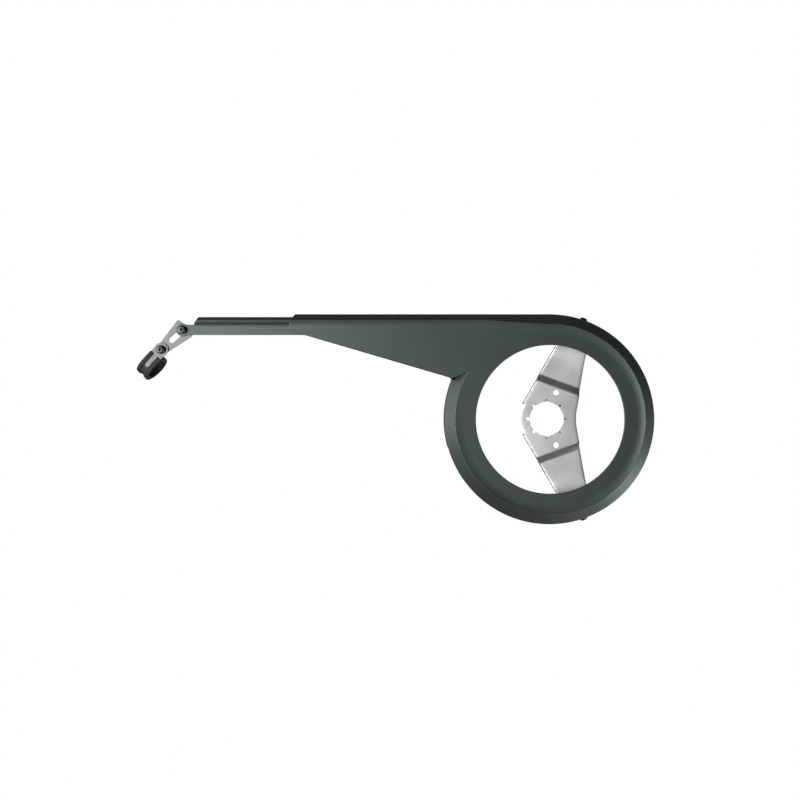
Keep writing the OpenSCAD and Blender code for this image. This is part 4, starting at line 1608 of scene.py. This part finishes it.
@dataclass
class CapScrew:
    """A socket cap screw with a knurled head and a rolled thread."""

    name: str
    node: str
    body: Body
    at: Place
    shank: float
    head_r: float = 4.25
    head_h: float = 5.0
    bolt_r: float = 2.5
    socket: float = 3.0
    socket_h: float = 2.8
    pitch: float = 0.8
    depth: float = 0.42
    knurls: int = 40
    knurl_in: float = 0.12
    turn: float = 12.0

    def head(self) -> bpy.types.Object:
        """The head with its hexagon socket, seated on z = 0.

        Returns:
            The head.
        """
        steps = 72
        angles = [2 * pi * k / steps for k in range(steps)]

        def circle(r: float, h: float) -> list[Place]:
            """One ring of points."""
            return [(r * cos(a), r * sin(a), h) for a in angles]

        def hexagon(grow: float, h: float) -> list[Place]:
            """The socket's outline.

            Args:
                grow: How far beyond the socket's sides.
                h: The ring's height.

            Returns:
                One ring of points.
            """
            reach = [(self.socket / 2 + grow) / cos((a % (pi / 3)) - pi / 6) for a in angles]
            return [(r * cos(a), r * sin(a), h) for r, a in zip(reach, angles)]

        r, h = self.head_r, self.head_h
        grip = r - self.knurl_in
        rings = [circle(self.bolt_r, 0.0), circle(r - 0.25, 0.0), circle(grip, 0.12)]
        rings += [circle(grip, h - 1.0), circle(r - 0.3, h - 0.6)]
        rings += [circle(r - 0.75, h - 0.22), circle(r - 1.35, h)]
        rings += [circle(2.0, h), circle(1.85, h - 0.1), hexagon(0.02, h - 0.35)]
        rings += [hexagon(0.0, h - self.socket_h), circle(0.6, h - self.socket_h - 0.6)]
        return skinned(self.name + "_head", rings, 28.0)

    def thread(self) -> bpy.types.Object:
        """The threaded shank: a core and one helical surface with closed ends.

        Returns:
            The shank.
        """
        steps, turns = 24, int(self.shank / self.pitch) - 1
        total, root, start = turns * steps, self.bolt_r - self.depth, -self.shank + 0.5
        shape = [(0.0, -self.depth), (0.25, -self.depth), (0.5, 0.0), (0.62, 0.0)]
        verts: list[Place] = []
        for t in range(total + 1):
            a = 2 * pi * t / steps
            rise = start + self.pitch * t / steps
            ease = min(1.0, t / steps, (total - t) / steps)
            for share, d in shape:
                r = root + (self.depth + d) * ease
                h = min(rise + self.pitch * share, -0.05)
                verts.append((r * cos(a) * MM, r * sin(a) * MM, h * MM))
        n = len(shape)
        faces = []
        for t in range(total):
            for k in range(n - 1):
                a = t * n + k
                faces.append((a, a + n, a + n + 1, a + 1))
            if t + steps < total:
                a, b = t * n + n - 1, (t + steps) * n
                faces.append((a, a + n, b + n, b))
        core, chamfer, top = self.bolt_r - 0.45, 0.3, 0.4
        low = -self.shank
        section = [(0, low), (core - chamfer, low), (core, low + chamfer), (core, top), (0, top)]
        parts = [lathe(self.name + "_core", section, 32), make_object(self.name + "_helix", verts, faces, 50.0)]
        return merged(self.name + "_thread", parts)

    def knurling(self, material: bpy.types.Material) -> bpy.types.Object:
        """Fine ribs round the head, placed by a node tree.

        Args:
            material: The screw's finish.

        Returns:
            The ribs as one piece.
        """
        section = [(-0.16, -0.18), (0.12, 0.0), (-0.16, 0.18)]
        ends = [[(x, y, h) for x, y in section] for h in (0.35, self.head_h - 1.05)]
        seed = skinned("rib_seed", ends, 20.0)
        return repeat_round(self.name + "_knurls", seed, self.knurls, self.head_r - self.knurl_in, material)

    def build(self, palette: Palette) -> None:
        """Makes the screw and hands it over.

        Args:
            palette: The finishes.
        """
        parts = [self.head(), self.thread()]
        for part in parts:
            palette.dress(part, "black_steel")
        parts.append(self.knurling(palette.materials["black_steel"]))
        piece = place(merged(self.name, parts), self.at, (0, -1, 0), self.turn)
        palette.settle(piece, "black_steel", self.body, self.node)


@dataclass
class RimScrew:
    """A low domed screw through the rim, with a hexagon socket."""

    name: str
    node: str
    angle: float
    rim_r: float = 105.8
    out: float = 6.5
    head_r: float = 3.8
    head_h: float = 3.6
    shank: float = 9.0
    bolt_r: float = 2.5
    chamfer: float = 0.4

    def build(self, palette: Palette) -> None:
        """Makes the screw and hands it over.

        Args:
            palette: The finishes.
        """
        r, h, bolt = self.head_r, self.head_h, self.bolt_r
        low = -self.shank
        section = [
            (0, low), (bolt - self.chamfer, low), (bolt, low + self.chamfer), (bolt, 0.0),
            (r, 0.0), (r, h * 0.4), (r - 0.15, h * 0.65), (r - 0.6, h * 0.88), (r - 1.4, h), (1.6, h),
            (1.45, h - 0.1), (1.4, 1.4), (0, 1.1),
        ]
        x, z = polar(self.rim_r, self.angle)
        piece = place(lathe(self.name, section, 48, 26.0), (x, -self.out, z), (x, 0, z))
        palette.settle(piece, "black_steel", Body.GUARD, self.node)


@dataclass
class ClipLining:
    """The clip's rubber lining: a channel round the band, with ridged lips over the band's edges."""

    at: Point = (-389.998, 69.842)
    ear_out: float = 25.2
    angle: float = 227.0
    twist: float = 7.0
    bore_r: float = 10.5
    lining: float = 1.4
    band: float = 1.0
    band_w: float = 13.0
    width: float = 14.5
    bare: float = 4.8
    covered: float = 0.15
    lip: float = 1.5
    reach: float = 19.0
    start: float = 7.6
    neck_gap: float = 32.0
    past_neck: float = 22.0
    closed: float = -76.0

    def section(self, bare: float) -> list[Point]:
        """The channel's section: across the band, and outward from its outer face.

        Args:
            bare: Half the width of the groove where the band shows.

        Returns:
            Its points in order.
        """
        half, edge = self.width / 2, self.band_w / 2
        gap, low = 0.06, -self.band - self.lining
        top, rise = self.lip, self.bare / 2 + 0.05
        lip = [
            (bare, gap), (bare, 0.3), (rise, 0.3), (rise + 0.35, top * 0.8), (rise + 0.8, top),
            (rise + 1.5, top - 0.05), (rise + 1.9, top - 0.45), (rise + 2.3, top - 0.45),
            (rise + 2.7, top - 0.05), (half - 0.9, top), (half - 0.35, top * 0.85), (half, 0.1),
            (half, low + 0.35), (half - 0.3, low + 0.05), (half - 0.9, low), (half - 2.6, low),
            (half - 3.1, low + 0.3), (half - 3.6, low),
        ]
        inner = [(edge + 0.05, -self.band - gap), (edge + 0.05, gap)]
        left = [(-a, b) for a, b in reversed(lip)]
        return lip + left + [(-a, b) for a, b in reversed(inner)] + inner

    def build(self, palette: Palette) -> None:
        """Makes the lining and hands it over.

        Args:
            palette: The finishes.
        """
        centre = self.bore_r + self.lining + self.band
        half = self.bare / 2
        stations = [((x, 0.0), (0.0, -1.0), half) for x in np.linspace(self.start, self.reach, 6)[:-1]]
        for a in np.linspace(-90, 270 - self.neck_gap - self.past_neck, 72):
            c, s = polar(1.0, float(a))
            bare = half if a < self.closed else self.covered
            stations.append(((self.reach + centre * c, centre + centre * s), (c, s), bare))
        turn = Matrix.Rotation(radians(self.twist), 3, "X")
        rings: list[list[Place]] = []
        for (px, depth), (nx, nd), bare in stations:
            ring = []
            for across, up in self.section(bare):
                local = turn @ Vector((px + nx * up, across, -(depth + nd * up)))
                x, z = turned([(local.x, local.y)], self.angle, self.at)[0]
                ring.append((x, -(self.ear_out + local.z), z))
            rings.append(ring)
        palette.settle(skinned("clip_lining", rings, 42.0), "black_rubber", Body.CLIP, "clip_rubber")


def finish_node(palette: Palette, node: str, slot: str, width: float) -> None:
    """Keeps a CAD node's shape, with softened edges and its own finish.

    Args:
        palette: The finishes.
        node: The CAD node.
        slot: The slot of its finish.
        width: Width of its softened edges in millimetres.
    """
    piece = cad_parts[node]
    palette.dress(piece, slot)
    weld = piece.modifiers.new("weld", "WELD")
    weld.merge_threshold = 1e-6
    bevel = piece.modifiers.new("bevel", "BEVEL")
    bevel.width = width * MM
    bevel.segments = 2
    bevel.limit_method = "ANGLE"
    bevel.angle_limit = radians(40)
    bevel.harden_normals = False
    log.info("%s: CAD shape kept", node)


# The studio


@dataclass(frozen=True)
class Lamp:
    """A large soft lamp: its place and the place that it is aimed at in metres, its size and its watts."""

    name: str
    at: Place
    aim: Place
    size: Point
    watts: float

    def build(self) -> None:
        """Hangs the lamp."""
        data = bpy.data.lights.new(self.name, "AREA")
        data.shape = "RECTANGLE"
        data.size, data.size_y = self.size
        data.energy = self.watts
        lamp = add_object(self.name, data)
        lamp.location = self.at
        lamp.rotation_euler = (Vector(self.aim) - Vector(self.at)).to_track_quat("-Z", "Y").to_euler()


class Studio:
    """Camera, floor, background and lamps."""

    DISTANCE = 1128.0  # millimetres from the bracket's face to the camera
    AIM = (-150.35, 19.41)
    LENS = 49.5
    ROOM = 0.012  # brightness of the room that the guard reflects
    FLOOR_SIZE = 6.0
    LAMPS = (
        Lamp("left_front", (-1.02, -1.6, 0.0), (-0.2, 0.0, 0.02), (0.6, 0.9), 44.0),
        Lamp("left_side", (-1.0, -0.2, 0.02), (-0.1, 0.0, 0.0), (0.5, 0.5), 4.6),
        Lamp("low_right_side", (0.85, -0.2, -0.6), (0.05, 0.0, -0.05), (0.4, 0.4), 9.0),
        Lamp("low_side", (0.35, -0.3, -0.9), (0.05, 0.0, -0.05), (0.4, 0.3), 1.6),
        Lamp("right_side", (1.0, -0.2, -0.1), (0.05, 0.0, 0.0), (0.4, 0.4), 0.9),
        Lamp("front", (-0.15, -1.7, -0.1), (-0.15, 0.0, 0.02), (0.9, 0.9), 0.3),
        Lamp("top_left", (-0.95, -0.35, 0.5), (-0.35, 0.0, 0.09), (0.4, 0.3), 1.4),
        Lamp("rear_left", (-1.7, 0.8, 0.6), (-0.25, 0.0, 0.05), (0.8, 0.8), 7.0),
        Lamp("rear_right", (0.75, 1.8, 0.5), (-0.1, 0.0, 0.0), (1.6, 1.2), 15.0),
        Lamp("rear_low", (0.6, 1.6, -0.7), (-0.1, 0.0, 0.0), (0.9, 0.6), 3.5),
        Lamp("low_front", (0.1, -1.7, -0.5), (-0.1, 0.0, 0.0), (0.8, 0.5), 0.9),
    )

    def camera(self) -> None:
        """Looks straight at the guard's face from where the photograph was taken."""
        data = bpy.data.cameras.new("camera")
        data.lens = self.LENS
        data.sensor_width = 36.0
        data.clip_end = 50.0
        eye = add_object("camera", data)
        eye.location = (self.AIM[0] * MM, -self.DISTANCE * MM, self.AIM[1] * MM)
        eye.rotation_euler = (pi / 2, 0.0, 0.0)
        bpy.context.scene.camera = eye

    def floor(self, lowest: float) -> None:
        """Lays a plain white floor under the guard.

        It is as bright as the background, lets the low lamps through, and is see-through from below.

        Args:
            lowest: The guard's lowest height in metres.
        """
        mesh = bpy.data.meshes.new("floor")
        work = bmesh.new()
        bmesh.ops.create_grid(work, x_segments=1, y_segments=1, size=self.FLOOR_SIZE)
        work.to_mesh(mesh)
        work.free()
        mesh.transform(Matrix.Translation((0, 0, lowest)))
        material = bpy.data.materials.new("pale_floor")
        material.use_nodes = True
        n = Nodes(material.node_tree)
        shader = material.node_tree.nodes["Principled BSDF"]
        shader.inputs["Roughness"].default_value = 0.9
        shader.inputs["Specular IOR Level"].default_value = 0.1
        cloud = n.noise(n.add("ShaderNodeTexCoord").outputs["Object"], 6.0, 3.0)
        n.feed(shader.inputs["Base Color"], n.blend(cloud, (0.55, 0.55, 0.55, 1), (0.6, 0.6, 0.6, 1)))
        glow = n.add("ShaderNodeEmission", {"Color": (1, 1, 1, 1), "Strength": 1.0})
        seen = n.add("ShaderNodeLightPath").outputs["Is Camera Ray"]
        both = n.add("ShaderNodeMixShader", {0: seen, 1: shader.outputs[0], 2: glow.outputs[0]})
        below, clear = n.add("ShaderNodeNewGeometry").outputs["Backfacing"], n.add("ShaderNodeBsdfTransparent")
        out = n.add("ShaderNodeMixShader", {0: below, 1: both.outputs[0], 2: clear.outputs[0]})
        n.feed(material.node_tree.nodes["Material Output"].inputs["Surface"], out.outputs[0])
        floor = add_object("floor", mesh)
        floor.data.materials.append(material)
        floor.visible_shadow = floor.visible_glossy = floor.visible_diffuse = False
        floor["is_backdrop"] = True

    def lights(self) -> None:
        """A white background in a dim room, and the soft lamps."""
        world = bpy.data.worlds.new("studio")
        world.use_nodes = True
        n = Nodes(world.node_tree)
        back = world.node_tree.nodes["Background"]
        back.inputs["Color"].default_value = (1, 1, 1, 1)
        seen = n.add("ShaderNodeLightPath").outputs["Is Camera Ray"]
        n.feed(back.inputs["Strength"], n.math("MAXIMUM", seen, self.ROOM))
        bpy.context.scene.world = world
        for lamp in self.LAMPS:
            lamp.build()
        view = bpy.context.scene.view_settings
        view.view_transform = "Standard"
        view.look = "None"


def main() -> None:
    """Builds the scene piece by piece."""
    low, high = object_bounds()
    studio = Studio()
    studio.camera()
    palette = Palette()
    GuardShell().build(palette)
    Bracket().build(palette)
    Rail().build(palette)
    Link().build(palette)
    upper_seat, lower_seat = (-368.5, -25.2, 89.75), (-389.998, -25.3, 69.842)
    CapScrew("upper_cap_screw", "upper_bolt", Body.PIVOT, upper_seat, 9.7).build(palette)
    CapScrew("lower_cap_screw", "lower_bolt", Body.LINK, lower_seat, 9.7).build(palette)
    RimScrew("upper_rim_button", "upper_rim_screw", 70.0).build(palette)
    RimScrew("lower_rim_button", "lower_rim_screw", -70.0).build(palette)
    for node in ("upper_rim_nut", "lower_rim_nut", "upper_washer", "upper_nut", "lower_washer", "lower_nut"):
        finish_node(palette, node, "bare_steel", 0.15)
    finish_node(palette, "clip_band", "grey_steel", 0.12)
    ClipLining().build(palette)
    studio.floor(low.z)
    studio.lights()
    low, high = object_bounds()


if __name__ == "__main__":
    main()
